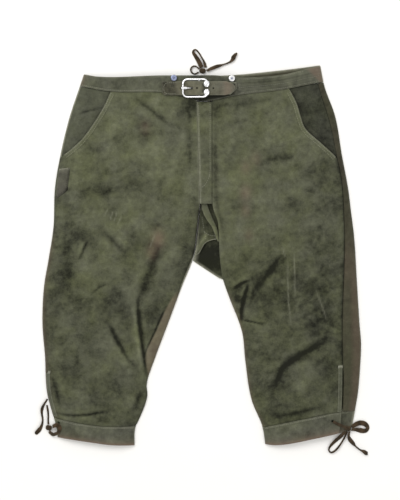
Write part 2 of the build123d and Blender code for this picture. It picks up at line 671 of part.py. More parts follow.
# ---------------------------------------------------------------- write every piece
SIDES = ("right", "left")
save(right_front_upper(), "right_front_upper")
save(left_front_upper(), "left_front_upper")
save(fly_flap(), "fly_flap")
save(crotch_gusset(), "crotch_gusset")
for side in SIDES:
    save(back_upper(side), f"{side}_back_upper")
    save(front_waistband(side), f"{side}_front_waistband")
    save(back_waistband(side), f"{side}_back_waistband")
    save(pocket_facing(side), f"{side}_pocket_facing")
    save(pocket_bag(side), f"{side}_pocket_bag")
    save(pocket_binding(side), f"{side}_pocket_binding")
    save(zip_tape(side), f"{side}_zip_tape")
    save(zip_teeth(side), f"{side}_zip_teeth")
    for name, piece in leg_parts(side).items():
        save(piece, f"{side}_{name}")
save(knife_pocket(), "knife_pocket")
save(zip_stops(), "zip_stops")
save(zip_slider(), "zip_slider")
save(zip_pull(), "zip_pull")
save(fly_shield(), "fly_shield")
save(waist_strap(), "waist_strap")
save(buckle_chape(), "buckle_chape")
save(buckle_frame(), "buckle_frame")
save(buckle_prong(), "buckle_prong")
save(button_tacks(), "button_tacks")
save(button_cap(RIGHT_BUTTON), "right_button_cap")
save(button_cap(LEFT_BUTTON), "left_button_cap")
save(back_gusset(), "back_gusset")
save(back_eyelets(), "back_eyelets")
save(back_lacing(), "back_lacing")
save(knot(WAIST_KNOT), "waist_knot")
save(knot(RIGHT_KNOT), "right_knee_knot")
save(knot(LEFT_KNOT, LEFT_STUB), "left_knee_knot")
for laces in (WAIST_LACES, LEFT_LACES, RIGHT_LACES):
    for name, route in laces.items():
        print(name)
        save(tube(route, LACE_R), name)
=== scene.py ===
"""Suede knee breeches laid flat, seen from straight above. Metres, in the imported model's frame."""
import json
import math

import bmesh
import bpy
import numpy as np
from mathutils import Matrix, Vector, noise

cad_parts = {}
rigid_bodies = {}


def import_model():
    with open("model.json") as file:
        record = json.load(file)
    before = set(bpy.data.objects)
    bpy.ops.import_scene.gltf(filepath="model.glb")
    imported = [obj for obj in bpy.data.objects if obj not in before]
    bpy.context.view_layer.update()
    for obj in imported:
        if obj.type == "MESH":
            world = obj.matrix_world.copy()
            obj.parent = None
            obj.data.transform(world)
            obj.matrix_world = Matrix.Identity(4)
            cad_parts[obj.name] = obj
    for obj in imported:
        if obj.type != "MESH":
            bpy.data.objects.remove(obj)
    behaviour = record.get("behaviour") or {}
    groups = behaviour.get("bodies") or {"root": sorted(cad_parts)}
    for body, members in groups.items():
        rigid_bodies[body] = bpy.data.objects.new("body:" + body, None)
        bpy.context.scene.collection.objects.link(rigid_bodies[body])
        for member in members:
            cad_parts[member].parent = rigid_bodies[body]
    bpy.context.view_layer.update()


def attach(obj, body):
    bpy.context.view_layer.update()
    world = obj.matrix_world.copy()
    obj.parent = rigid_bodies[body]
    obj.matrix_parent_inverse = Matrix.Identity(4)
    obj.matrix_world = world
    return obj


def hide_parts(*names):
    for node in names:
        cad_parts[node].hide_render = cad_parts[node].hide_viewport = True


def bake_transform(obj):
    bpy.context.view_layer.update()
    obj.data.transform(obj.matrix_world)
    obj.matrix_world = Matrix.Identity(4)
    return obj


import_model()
MM = 0.001
UP = np.array((0.0, 0.0, 1.0))

# --- sizes, in millimetres
LEATHER = 1.8            # panel leather
BAND = 2.6               # doubled leather of the bands
THIN, LINING = 1.4, 1.1  # softer leather of the gusset and facings, and behind the openings
TRIM_T = 1.0             # bindings and the knife pouch
CLOTH = 0.5              # pocket cotton and zip tape
CELL = 2.6               # mesh cell of the large panels
EDGE_Z = 5.6             # front layer's top at a seam
WAIST_Z = 15.0           # and at the waist
FLY_SLOPE = 0.0337       # how fast it rises down the fly
CENTRE_X = -2.0          # centre back seam
CROTCH_Y = 104.0         # where the inner legs meet
FLAP_HINGE_X = 21.0      # the fly's leather is hinged here, on the left front
FLY_TOP_Y, FLY_BOTTOM_Y = 309.0, 106.0
ZIP_TOP_Y, ZIP_BOTTOM_Y = 305.0, 121.0
STRAP_Y, STRAP_T = 336.0, 2.4            # the strap's middle line, and its thickness
STRAP_HOLES = ((-41, 17.6), (-9, 23.2), (23.5, 20.6))    # x, and z of what is seen inside
LACE_W, LACE_T = 6.0, 1.3                # a lace lying flat
SEAM_GAP = 0.4           # a panel's edge stops this far from its seam line
STITCH_PITCH, STITCH_LENGTH, STITCH_R = 4.0, 2.6, 0.34   # apart, length, thread's radius
DENTS = 0.00005          # depth of the metals' dents, in metres

# folds in the leather: route, half width, depth, sharpness (0 soft to 1 crisp)
FOLDS = [
    ([(-133, 317), (-99, 291), (-78, 274), (-59, 261)], 6, 1.9, 0.4),
    ([(-30, 306), (-24, 280), (-23, 210), (-23, 160)], 6, 1.4, 0.2),
    ([(42, 300), (90, 306), (139, 314)], 9, 1.2, 0.2),
    ([(-84, 26), (-92, 2), (-103, -30), (-118, -66), (-127, -90)], 10, 3.0, 0.2),
    ([(-124, -74), (-127, -100), (-125, -130), (-120, -167), (-110, -238)], 5, 4.6, 1.0),
    ([(-72, -100), (-92, -145), (-113, -194)], 3, 1.2, 0.8),
    ([(-190, -122), (-168, -166), (-148, -202), (-127, -225)], 6, 2.4, 0.5),
    ([(-219, -74), (-203, -60), (-183, -52)], 4, 1.0, 0.5),
    ([(-227, 34), (-236, 12), (-245, -8)], 4, 2.0, 0.6),
    ([(-203, 56), (-180, 36), (-160, 16), (-148, 8)], 7, 2.0, 0.3),
    ([(-272, 40), (-266, -10), (-276, -60)], 14, 1.6, 0.0),
    ([(-290, -312), (-262, -316), (-228, -315), (-190, -308)], 4, 2.4, 0.7),
    ([(-301, -232), (-290, -262), (-283, -300)], 6, 1.6, 0.4),
    ([(-246, -190), (-250, -215)], 7, 0.9, 0.2),
    ([(-118, -262), (-128, -290), (-140, -312)], 7, 1.5, 0.2),
    ([(96, -45), (78, -54), (62, -64)], 5, 3.6, 0.8),
    ([(96, -47), (86, -76), (80, -105), (79, -131)], 5, 4.6, 1.0),
    ([(163, 10), (130, -36), (104, -66), (93, -104)], 8, 2.4, 0.3),
    ([(80, -125), (104, -130), (126, -134)], 3, 2.0, 0.9),
    ([(256, -164), (221, -180), (185, -202), (160, -222), (142, -264)], 9, 3.2, 0.6),
    ([(250, -292), (220, -304), (180, -312), (140, -322)], 6, 1.5, 0.3),
    ([(230, -262), (200, -276), (170, -276)], 9, 0.9, 0.0),
    ([(26, 300), (27, 200), (28, 130), (40, 60), (44, -10)], 6, 1.3, 0.2),
    ([(-8, 120), (-26, 60), (-30, 10), (-42, -50)], 10, 1.4, 0.0),
    ([(119, 190), (150, 196), (186, 200)], 9, 1.6, 0.2),
    ([(60, 96), (90, 104), (130, 96)], 9, 1.0, 0.0),
    ([(-230, 142), (-190, 132), (-150, 140), (-120, 150)], 13, 1.1, 0.0),
    ([(-250, 284), (-226, 292), (-196, 298)], 4, 2.2, 0.7),
]
# light scratches: route
SCRATCHES = [[(170, 4), (173, -90), (179, -141)], [(184, 12), (186, -85)],
             [(227, -65), (240, -98), (250, -128)], [(-176, 92), (-182, 72)],
             [(-168, 90), (-174, 70)], [(-158, 84), (-168, 62)], [(-92, 46), (-104, 16)],
             [(160, 20), (167, -2)], [(-186, 96), (-194, 80)]]
# darker (below 0) and lighter patches: place, radius, strength; most are mottling of the leather,
# while the strong dark ones beside the crease near (80, -85) and under the waistband at the fly are
# painted shade
PATCHES = [((-193, 138), 24, -0.14), ((-147, 140), 20, -0.16), ((-240, 40), 30, -0.2),
           ((-113, 245), 16, -0.2), ((-171, 232), 14, -0.16), ((-207, 215), 14, -0.16),
           ((-78, 188), 14, -0.14), ((-230, 123), 14, -0.12), ((-20, 300), 16, -0.38),
           ((-180, 255), 26, 0.14), ((-85, 205), 34, 0.14), ((-150, 60), 30, 0.1),
           ((-269, -20), 24, -0.17), ((-276, -62), 20, -0.14), ((-118, 30), 30, -0.08),
           ((170, 198), 18, -0.10), ((216, 138), 10, -0.16), ((188, 110), 16, -0.22),
           ((142, 272), 34, 0.12), ((60, 150), 14, 0.1), ((-215, -20), 34, 0.1),
           ((140, -20), 26, -0.12), ((140, -80), 40, -0.12), ((60, 40), 30, 0.12),
           ((150, -255), 34, -0.14), ((200, -262), 34, 0.14), ((226, -150), 26, -0.2),
           ((178, -198), 22, -0.1), ((110, -190), 34, 0.08), ((250, 20), 30, -0.1),
           ((80, -66), 9, -0.45), ((76, -86), 9, -0.55), ((74, -106), 7, -0.5),
           ((88, -56), 6, -0.4), ((30, 296), 16, -0.3), ((255, 170), 40, -0.12),
           ((250, 110), 40, -0.1), ((215, -60), 40, -0.1), ((-270, 96), 24, -0.14),
           ((240, -110), 26, -0.12), ((-60, 120), 26, -0.06)]
# reddish scuffs: place, radius, strength
SCUFFS = [((-86, 36), 12, 0.5), ((-100, 10), 10, 0.3), ((88, 128), 11, 0.35), ((88, 92), 9, 0.25),
          ((108, 196), 10, 0.2), ((-112, 258), 10, 0.2), ((88, 178), 10, 0.25), ((94, 44), 9, 0.2)]


# --- outlines and heights
def curve(at, points):
    """Smooth values through (position, value) points, straight on beyond the ends."""
    p = np.array(points, float)
    at = np.asarray(at, float)
    k = np.clip(np.searchsorted(p[:, 0], at, side="right") - 1, 0, len(p) - 2)
    step = np.diff(p[:, 0])
    slope = np.diff(p[:, 1]) / step
    tangent = np.concatenate([slope[:1], (slope[:-1] + slope[1:]) / 2, slope[-1:]])
    h = step[k]
    u = (at - p[k, 0]) / h
    inner = ((2 * u**3 - 3 * u**2 + 1) * p[k, 1] + (u**3 - 2 * u**2 + u) * tangent[k] * h
             + (3 * u**2 - 2 * u**3) * p[k + 1, 1] + (u**3 - u**2) * tangent[k + 1] * h)
    outside = (at < p[0, 0]) | (at > p[-1, 0])
    return np.where(outside, p[k, 1] + slope[k] * (at - p[k, 0]), inner)


def line(points):
    """Outline through (position, value) points."""
    return lambda at: curve(at, points)


def level(value):
    return lambda at: np.full_like(np.asarray(at, float), value)


def shift(outline, by):
    return lambda at: outline(at) + by


# x of the garment's edges against y
right_side = line([(-378, -286), (-340, -290), (-306, -300), (-270, -309), (-198, -313),
                   (-134, -318), (-60, -315), (0, -305), (60, -296), (138, -293), (218, -279),
                   (282, -263), (330, -247), (368, -234)])
left_side = line([(-378, 290), (-345, 299), (-300, 308), (-270, 313), (-222, 317), (-174, 319),
                  (-134, 316), (-54, 311), (42, 305), (90, 299), (138, 293), (202, 281),
                  (282, 267), (341, 246), (384, 237)])
left_seam = line([(-378, 270), (-322, 278), (-212, 281), (-146, 280), (34, 285), (74, 284),
                  (154, 279), (204, 269), (264, 257), (348, 232), (384, 226)])
right_inner = line([(-378, -134), (-340, -132), (-326, -125), (-278, -108), (-254, -109),
                    (-198, -91), (-134, -67), (-54, -37), (-10, -19), (4, -15), (60, -8),
                    (104, -3)])
LEFT_INSEAM = [(-378, 128), (-341, 122), (-286, 100), (-206, 87), (-156, 82), (-134, 76),
               (-78, 54), (-42, 42)]
left_inner = line(LEFT_INSEAM + [(24, 34), (50, 29), (80, 16), (104, -1)])
left_front_edge = line(LEFT_INSEAM + [(0, 36), (50, 34), (72, 32), (86, 27), (98, 22.5),
                                      (112, 21)])
# y of the cross seams against x
waist_seam = line([(-255, 344), (-183, 330), (-81, 328), (-33, 320), (-3, 311), (20, 312),
                   (69, 322), (165, 334), (223, 346), (250, 351)])
waist_top = line([(-240, 366), (-207, 360), (-81, 362), (-23, 362), (30, 362), (69, 358),
                  (100, 358), (165, 364), (213, 376), (245, 383)])
back_top = line([(-240, 364), (-207, 358), (-81, 360), (69, 364), (141, 371), (185, 376),
                 (245, 384)])
SIDES = ("right", "left")
# what the two sides share: outer outline, inner leg, pocket mouth, knee seam and hem
OUTER = {"right": right_side, "left": left_side}
INNER = {"right": right_inner, "left": left_inner}
MOUTH = {"right": line([(196, -286), (206, -271), (221, -252), (239, -234), (264, -216),
                        (302, -193), (335, -178)]),
         "left": line([(186, 280), (206, 261), (224, 241), (255, 207), (280, 197), (306, 189),
                       (345, 169)])}
KNEE = {"right": line([(-300, -320), (-243, -332), (-194, -338), (-125, -338)]),
        "left": line([(115, -342), (210, -322), (267, -311), (310, -306)])}
HEM = {"right": line([(-300, -358), (-227, -369), (-177, -375.5), (-125, -376)]),
       "left": line([(115, -372), (149, -375.5), (229, -362), (275, -352), (310, -345)])}


def crown_line(y):
    """Height of the garment's top down the fly."""
    return WAIST_Z + FLY_SLOPE * (330 - y)


# height of the crown against y
CROWN = [(-378, 13.5), (-340, 14.5), (-270, 18), (-150, 22), (-46, 24), (20, 24), (60, 23.7),
         (100, 22.7), *((y, crown_line(y)) for y in (130, 180, 230, 280, 330)),
         (355, WAIST_Z), (385, WAIST_Z)]


def rise(t):
    """From an edge, steep at first, to its full height at the middle."""
    return 1 - (1 - np.minimum(t / 0.5, 1)) ** 3


def smooth(t):
    """0 to 1 without a corner at either end."""
    t = np.clip(t, 0, 1)
    return t * t * (3 - 2 * t)


def bell(gap, width):
    """1 where the gap is nothing, down to about 0 at twice the width."""
    return np.exp(-(gap / width) ** 2)


def fade(gap, reach):
    """1 at an edge, dying away over a few times the reach."""
    return np.exp(-gap / reach)


def crown_z(x, y):
    """Top of the front layer without its folds, as the CAD panels have it."""
    drop = np.clip((CROTCH_Y - y) / 114, 0, 1)
    low_y = np.minimum(y, CROTCH_Y)
    right = np.where(y > CROTCH_Y, x < CENTRE_X, x < (right_inner(y) + left_inner(y)) / 2)
    outer = np.where(right, right_side(y), left_side(y))
    inner = np.where(right, right_inner(low_y), left_inner(low_y))
    t = np.clip((x - outer) / (inner - outer), 0, 1)
    full = rise(t) * (1 - drop * (1 - rise(1 - t)))
    return EDGE_Z + (curve(y, CROWN) - EDGE_Z) * full


def edge_gap(x, y):
    """Distance in x to the nearer outer outline."""
    return np.minimum(x - right_side(y), left_side(y) - x)


def distance(x, y, route):
    """Distance to a polyline, positive on the left of its run, and the place along it."""
    p = np.array(route, float)
    runs = np.linalg.norm(np.diff(p, axis=0), axis=1)
    total = runs.sum()
    best = np.full(np.shape(x), 1e9)
    place = np.zeros(np.shape(x))
    before = 0.0
    for a, b, run in zip(p, p[1:], runs):
        d = (b - a) / run
        s = np.clip((x - a[0]) * d[0] + (y - a[1]) * d[1], 0, run)
        left = np.where((y - a[1]) * d[0] - (x - a[0]) * d[1] < 0, -1, 1)
        gap = np.hypot(x - a[0] - s * d[0], y - a[1] - s * d[1])
        closer = gap < abs(best)
        best = np.where(closer, left * gap, best)
        place = np.where(closer, (before + s) / total, place)
        before += run
    return best, place


def fractal(x, y, size, octaves, seed):
    """Smooth noise from -1 to 1, its largest waves `size` wide."""
    flat = [noise.fractal((a / size, b / size, seed), 0.9, 2.1, octaves)
            for a, b in zip(np.ravel(x), np.ravel(y))]
    return np.reshape(flat, np.shape(x))


def relief(x, y):
    """Height of folds and soft waves, and a tone that goes with them, lighter above 0 and darker
    below: random mottling and patches, painted highlight on raised parts and fold ridges, painted
    shade in fold valleys.
    """
    height = 1.7 * fractal(x, y, 58, 3, 3.0) + 0.5 * fractal(x, y + 0.4 * x, 17, 3, 8.0)
    streak = fractal(x + 0.7 * y, 1.8 * (y - 0.5 * x), 30, 4, 51.0)
    tone = 0.08 * fractal(x, y, 74, 4, 21.0) + 0.11 * fractal(x, y, 26, 4, 33.0) + 0.09 * streak
    # painted highlight on raised parts, painted shade in hollows
    tone += 0.07 * np.minimum(height, 1.2)
    for route, width, depth, crisp in FOLDS:
        gap, place = distance(x, y, route)
        ends = np.minimum(1, 4 * np.minimum(place, 1 - place) + 0.1)
        valley = bell(gap, width)
        ridge = bell(np.abs(gap) - 2.0 * width, 1.2 * width)
        lip = crisp * bell(gap + 1.1 * width, 0.8 * width)
        line_in = crisp * bell(gap, 0.45 * width)
        height += depth * ends * (0.35 * ridge + 0.5 * lip - valley)
        # painted highlight on each fold's ridge and lip, painted shade in its valley and along a
        # crisp crease line
        tone += ends * (0.03 * depth * ridge + 0.07 * depth * lip
                        - min(0.09 * depth, 0.3) * valley - 0.3 * line_in)
    # patches: mottling of the leather, and painted shade where a patch sits beside a crease or under
    # the waistband
    for (px, py), radius, strength in PATCHES:
        far = ((x - px) ** 2 + (y - py) ** 2) / radius**2
        tone += strength * np.exp(-far * (1 + 0.7 * streak))
    return height, tone


def scuffs(x, y):
    """How far the leather is rubbed to its reddish ground."""
    total = np.zeros(np.shape(x))
    for (px, py), radius, strength in SCUFFS:
        total += strength * np.exp(-((x - px) ** 2 + 0.5 * (y - py) ** 2) / radius**2)
    return total


def scratches(x, y):
    """How far thin scratches turn it pale."""
    total = np.zeros(np.shape(x))
    for route in SCRATCHES:
        gap, place = distance(x, y, route)
        total += 0.3 * bell(gap, 1.3) * np.minimum(1, 5 * np.minimum(place, 1 - place))
    return total


# --- materials
def new_material(name, rough, sheen=0.0, metal=0.0, specular=0.5):
    material = bpy.data.materials.new(name)
    material.use_nodes = True
    shader = material.node_tree.nodes["Principled BSDF"]
    shader.inputs["Roughness"].default_value = rough
    shader.inputs["Metallic"].default_value = metal
    shader.inputs["Sheen Weight"].default_value = sheen
    shader.inputs["Sheen Roughness"].default_value = 0.55
    shader.inputs["Sheen Tint"].default_value = (0.80, 0.84, 0.62, 1)
    shader.inputs["Specular IOR Level"].default_value = specular
    return material, shader


def add(material, kind, **settings):
    node = material.node_tree.nodes.new(kind)
    for key, value in settings.items():
        if key in node.inputs:
            node.inputs[key].default_value = value
        else:
            setattr(node, key, value)
    return node


def link(material, source, target):
    material.node_tree.links.new(source, target)


def feed(material, value, socket):
    """Link another node's output to a socket, or set the socket's own value."""
    if hasattr(value, "links"):
        link(material, value, socket)
    else:
        socket.default_value = value


def noise_node(material, scale, detail, roughness=0.6):
    place = add(material, "ShaderNodeTexCoord")
    node = add(material, "ShaderNodeTexNoise", Scale=scale, Detail=detail, Roughness=roughness)
    link(material, place.outputs["Object"], node.inputs["Vector"])
    return node.outputs["Fac"]


def mix_colour(material, factor, a, b):
    node = add(material, "ShaderNodeMix", data_type="RGBA")
    for socket, value in ((0, factor), (6, a), (7, b)):
        feed(material, (*value, 1) if isinstance(value, tuple) else value, node.inputs[socket])
    return node.outputs[2]


def maths(material, operation, *values):
    node = add(material, "ShaderNodeMath", operation=operation)
    for value, socket in zip(values, node.inputs):
        feed(material, value, socket)
    return node.outputs[0]


def spread(material, value, gain, offset):
    """value * gain + offset"""
    return maths(material, "MULTIPLY_ADD", value, gain, offset)


def bump(material, shader, layers):
    """Stack of (height socket, depth in metres) bumps."""
    last = None
    for height, depth in layers:
        node = add(material, "ShaderNodeBump", Strength=1.0, Distance=depth)
        link(material, height, node.inputs["Height"])
        if last:
            link(material, last, node.inputs["Normal"])
        last = node.outputs["Normal"]
    link(material, last, shader.inputs["Normal"])


def ramp(material, factor, colours):
    """Colour ramp whose stops are evenly spread."""
    node = add(material, "ShaderNodeValToRGB")
    link(material, factor, node.inputs["Fac"])
    stops = node.color_ramp.elements
    while len(stops) < len(colours):
        stops.new(0.5)
    for k, colour in enumerate(colours):
        stops[k].position = k / (len(colours) - 1)
        stops[k].color = (*colour, 1)
    return node.outputs["Color"]


def suede(name, base, pale=(0.27, 0.27, 0.20), nap=1.0, green=(0.98, 1.02, 0.72)):
    """Napped leather: mottled, with painted shade in folds and painted highlight on ridges brought
    by its tone attribute; pale where an edge is cut or rubbed, and where an edge is painted as
    catching light.
    """
    material, shader = new_material(name, 0.95, sheen=0.12, specular=0.12)
    tone, wear, blush = [add(material, "ShaderNodeAttribute", attribute_name=key).outputs["Fac"]
                         for key in ("tone", "wear", "blush")]
    for scale, detail, gain in ((30, 6, 0.26), (120, 5, 0.50), (520, 3, 0.40)):
        tone = maths(material, "ADD", tone,
                     spread(material, noise_node(material, scale, detail), gain, -gain / 2))
    place = spread(material, tone, 1.0, 0.45)
    grey = [tuple(k * c for c in base) for k in (0.13, 0.46, 0.86, 1.22, 1.75, 2.4)]
    leaf = [tuple(c * g for c, g in zip(colour, green)) for colour in grey]
    hue = spread(material, noise_node(material, 19, 6, 0.65), 2.6, -1.0)
    hue = maths(material, "MINIMUM", maths(material, "MAXIMUM", hue, 0.0), 0.7)
    colour = mix_colour(material, hue, ramp(material, place, grey), ramp(material, place, leaf))
    colour = mix_colour(material, blush, colour, (0.17, 0.115, 0.085))
    # pale where the leather is worn and scratched, and a painted highlight where an edge is given as
    # catching light
    worn_and_lit_pale = spread(material, maths(material, "MULTIPLY", wear, noise_node(material, 160, 3, 0.7)),
                    1.5, 0.0)
    colour = mix_colour(material, worn_and_lit_pale, colour, pale)
    link(material, colour, shader.inputs["Base Color"])
    bump(material, shader, [(noise_node(material, 120, 4), 0.0010 * nap),
                            (noise_node(material, 900, 3, 0.8), 0.0006 * nap)])
    return material


def metal(name, base, rough):
    """Plated or plain metal, a little stained and unevenly polished."""
    material, shader = new_material(name, rough, metal=1.0)
    stain = noise_node(material, 240, 5)
    colour = mix_colour(material, stain, tuple(0.82 * c for c in base), base)
    link(material, colour, shader.inputs["Base Color"])
    uneven = spread(material, noise_node(material, 700, 4), 0.25, rough - 0.1)
    link(material, uneven, shader.inputs["Roughness"])
    bump(material, shader, [(noise_node(material, 900, 2), DENTS)])
    return material


def weave(name, base, scale=1500):
    """Cloth or thread: two sets of ribs across each other."""
    material, shader = new_material(name, 0.9, sheen=0.1, specular=0.2)
    place = add(material, "ShaderNodeTexCoord")
    waves = []
    for direction in ("X", "Y"):
        wave = add(material, "ShaderNodeTexWave", Scale=scale / 6, bands_direction=direction)
        link(material, place.outputs["Object"], wave.inputs["Vector"])
        waves.append(wave.outputs["Fac"])
    cloth = maths(material, "MULTIPLY", waves[0], waves[1])
    colour = mix_colour(material, cloth, tuple(0.6 * c for c in base), base)
    link(material, colour, shader.inputs["Base Color"])
    bump(material, shader, [(cloth, 0.0002)])
    return material


SUEDE = suede("suede", (0.080, 0.083, 0.055))
BAND_SUEDE = suede("band_suede", (0.076, 0.077, 0.058), green=(0.98, 1.02, 0.82))
FACING = suede("facing_suede", (0.060, 0.062, 0.045), green=(0.98, 1.02, 0.8))
SIDE_SUEDE = suede("side_suede", (0.045, 0.041, 0.027), green=(0.85, 0.97, 0.8))
TRIM = suede("trim_suede", (0.092, 0.094, 0.068), green=(0.96, 1.02, 0.85))
STRAP = suede("strap_suede", (0.096, 0.096, 0.074), nap=0.5, green=(1.04, 0.96, 0.78))
KNIFE_SUEDE = suede("knife_suede", (0.068, 0.065, 0.052), green=(0.95, 1.0, 0.85))
LACE = suede("lace_leather", (0.026, 0.017, 0.010), pale=(0.13, 0.09, 0.05), nap=0.3,
             green=(1.3, 1.2, 1.1))
THREAD = weave("thread", (0.40, 0.40, 0.31), 9000)
# dark thread, also used for the painted shadow discs inside the strap's holes
DARK_THREAD_AND_HOLE_SHADOW = weave("dark_thread", (0.02, 0.018, 0.012), 9000)
NICKEL = metal("nickel", (0.95, 0.95, 0.96), 0.16)
WORN_NICKEL = metal("worn_nickel", (0.26, 0.29, 0.42), 0.25)
BRASS = metal("zip_brass", (0.55, 0.43, 0.22), 0.35)
TAPE = weave("zip_tape", (0.10, 0.105, 0.07))
COTTON = weave("pocket_cotton", (0.26, 0.24, 0.18))


# --- mesh building
def grid(x0, x1, y0, y1, cell=CELL):
    """Rows of points between two side outlines and two cross seams, about `cell` apart."""
    probe_y = float((y0(x0(0.0)) + y1(x0(0.0))) / 2)
    width = float(x1(probe_y) - x0(probe_y))
    height = float(y1(x0(probe_y)) - y0(x0(probe_y)))
    across = max(4, int(abs(width) / cell) + 1)
    along = max(4, int(abs(height) / cell) + 1)
    s, t = np.meshgrid(np.linspace(0, 1, across), np.linspace(0, 1, along))
    y = np.full_like(s, probe_y)
    for _ in range(10):
        x = x0(y) + (x1(y) - x0(y)) * s
        y = y0(x) + (y1(x) - y0(x)) * t
    return x, y


def border(shape, cells):
    """1 at the rim of a grid, fading to 0 `cells` rows in."""
    rows, columns = np.indices(shape)
    gap = np.minimum(np.minimum(rows, shape[0] - 1 - rows),
                     np.minimum(columns, shape[1] - 1 - columns))
    return np.clip(1 - gap / cells, 0, 1)


def put(name, data):
    """New object in the scene."""
    piece = bpy.data.objects.new(name, data)
    bpy.context.collection.objects.link(piece)
    return piece


def make_object(name, vertices, faces, material, values=None, smooth_faces=True):
    mesh = bpy.data.meshes.new(name)
    mesh.from_pydata((np.asarray(vertices) * MM).tolist(), [], faces)
    mesh.validate()
    shape = bmesh.new()
    shape.from_mesh(mesh)
    bmesh.ops.recalc_face_normals(shape, faces=shape.faces)
    shape.to_mesh(mesh)
    shape.free()
    for key, data in (values or {}).items():
        attribute = mesh.attributes.new(key, "FLOAT", "POINT")
        attribute.data.foreach_set("value", np.asarray(data, np.float32).ravel())
    mesh.materials.append(material)
    if smooth_faces:
        mesh.shade_smooth()
    return put(name, mesh)


def normals_of(points, up):
    across = np.gradient(points, axis=1)
    along = np.gradient(points, axis=0)
    normal = np.cross(across, along)
    normal /= np.linalg.norm(normal, axis=2, keepdims=True) + 1e-12
    return normal * np.where(normal[..., 2:3] < 0, -1, 1) if up else normal


def tube_faces(rings, count, first=0, closed=False):
    """Faces over rings of `count` points, capped at both ends or joined into a loop."""
    faces = []
    for r in range(rings if closed else rings - 1):
        a, b = first + r * count, first + (r + 1) % rings * count
        faces += [[a + k, a + (k + 1) % count, b + (k + 1) % count, b + k] for k in range(count)]
    if not closed:
        last = first + (rings - 1) * count
        faces += [[first + k for k in range(count)][::-1], [last + k for k in range(count)]]
    return faces


def shell(name, x, y, z, thick, material, tone=0.0, wear=None, blush=None, up=True):
    """Closed sheet of leather whose outer face runs through the grid."""
    top = np.stack([x, y, z], axis=2)
    bottom = top - normals_of(top, up) * thick
    rows, columns = x.shape
    count = rows * columns
    index = np.arange(count).reshape(rows, columns)
    quads = np.stack([index[:-1, :-1], index[:-1, 1:], index[1:, 1:], index[1:, :-1]], axis=2)
    quads = quads.reshape(-1, 4)
    faces = quads.tolist() + (quads[:, ::-1] + count).tolist()
    rim = index[0].tolist() + index[1:, -1].tolist()
    rim += index[-1, -2::-1].tolist() + index[-2:0:-1, 0].tolist()
    for a, b in zip(rim, rim[1:] + rim[:1]):
        faces.append([a, a + count, b + count, b])
    vertices = np.concatenate([top.reshape(-1, 3), bottom.reshape(-1, 3)])
    vertices[:, 2] = np.maximum(vertices[:, 2], 0.05)
    zero = np.zeros_like(x)
    tone = tone + zero
    # by default a pale rim: pale cut edge, and painted highlight where the edge catches light
    wear = border(x.shape, 1.6) if wear is None else wear
    blush = zero if blush is None else blush
    values = {"tone": np.tile(tone.ravel(), 2), "wear": np.tile(np.clip(wear, 0, 1).ravel(), 2),
              "blush": np.tile(np.clip(blush, 0, 1).ravel(), 2)}
    return make_object(name, vertices, faces, material, values)


def own(piece, body, slot, *nodes):
    """Attach a piece to what it rides on and hide the CAD nodes that it stands for; slot, its
    finish, is not used.
    """
    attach(piece, body)
    if nodes:
        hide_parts(*nodes)


def bend(piece, side, slot, *nodes):
    """Leather that crosses the fold line of a leg: its transform is baked and the CAD nodes that it
    stands for are hidden.
    """
    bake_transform(piece)
    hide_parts(*nodes)


# --- panels
def fly_edge(y):
    return -9.0 + 6.0 * (FLY_TOP_Y - y) / (FLY_TOP_Y - FLY_BOTTOM_Y)


def round_off(z, gap, floor_z=1.0, reach=3.5):
    """Turn an outer edge down to the back leather."""
    return z - (EDGE_Z - floor_z) * np.exp(-np.maximum(gap, 0) / reach) ** 1.5


def surface(x, y):
    """Front layer's top with its folds, flattened towards the seams and under the strap."""
    height, tone = relief(x, y)
    hold = smooth(edge_gap(x, y) / 26) * smooth((waist_seam(x) - y) / 26)
    knee = np.where(x < 0, KNEE["right"](x), KNEE["left"](x))
    hold = hold * smooth((y - knee) / 16 + 0.25)
    fly = 1 - 0.75 * bell(x - 8, 24) * smooth((y - 90) / 30)
    return crown_z(x, y) + height * hold * fly, tone


def band_z(x, y):
    """Top of the front waistbands, flat under the strap."""
    clear = smooth((np.abs(x + 6) - 78) / 20)
    return crown_z(x, y) + 0.8 + clear * 0.7 * fractal(x, y, 34, 3, 6.0)


def cuff_z(x, y):
    """Top of the knee bands."""
    hem, knee = (np.where(x < 0, seam["right"](x), seam["left"](x)) for seam in (HEM, KNEE))
    rows = (y - hem) / (knee - hem)
    wave = 0.9 * fractal(x, y, 26, 3, 11.0) * smooth(rows * 3)
    return crown_z(x, y) + 0.8 + wave - 1.2 * np.exp(-(1 - rows) * 12) - 0.8 * np.exp(-rows * 12)


def flap_z(x, y):
    """Top of the leather that covers the zip."""
    bulge = 0.35 * fractal(x, y, 30, 3, 5.0)
    return crown_z(x, y) + bulge + 0.5 * bell(x - 2, 5)


def in_order(side, outer, inner):
    """A piece's two side outlines, the one with the lower x first."""
    return (outer, inner) if side == "right" else (inner, outer)


def panel_edges(side):
    """Outer and inner outlines of a front panel, cut back at the pocket mouth and the fly."""
    mouth = MOUTH[side]
    if side == "right":
        def outer(y):
            return np.where(y > 199, np.maximum(right_side(y), mouth(y)), right_side(y))

        def inner(y):
            leg = np.minimum(fly_edge(y), right_inner(y))
            return np.where(y < CROTCH_Y, leg, fly_edge(y)) - SEAM_GAP
    else:
        def outer(y):
            return np.where(y > 189, np.minimum(left_seam(y), mouth(y)), left_seam(y))

        def inner(y):
            return np.where(y > FLY_BOTTOM_Y, FLAP_HINGE_X, left_front_edge(y)) + SEAM_GAP
    return outer, inner


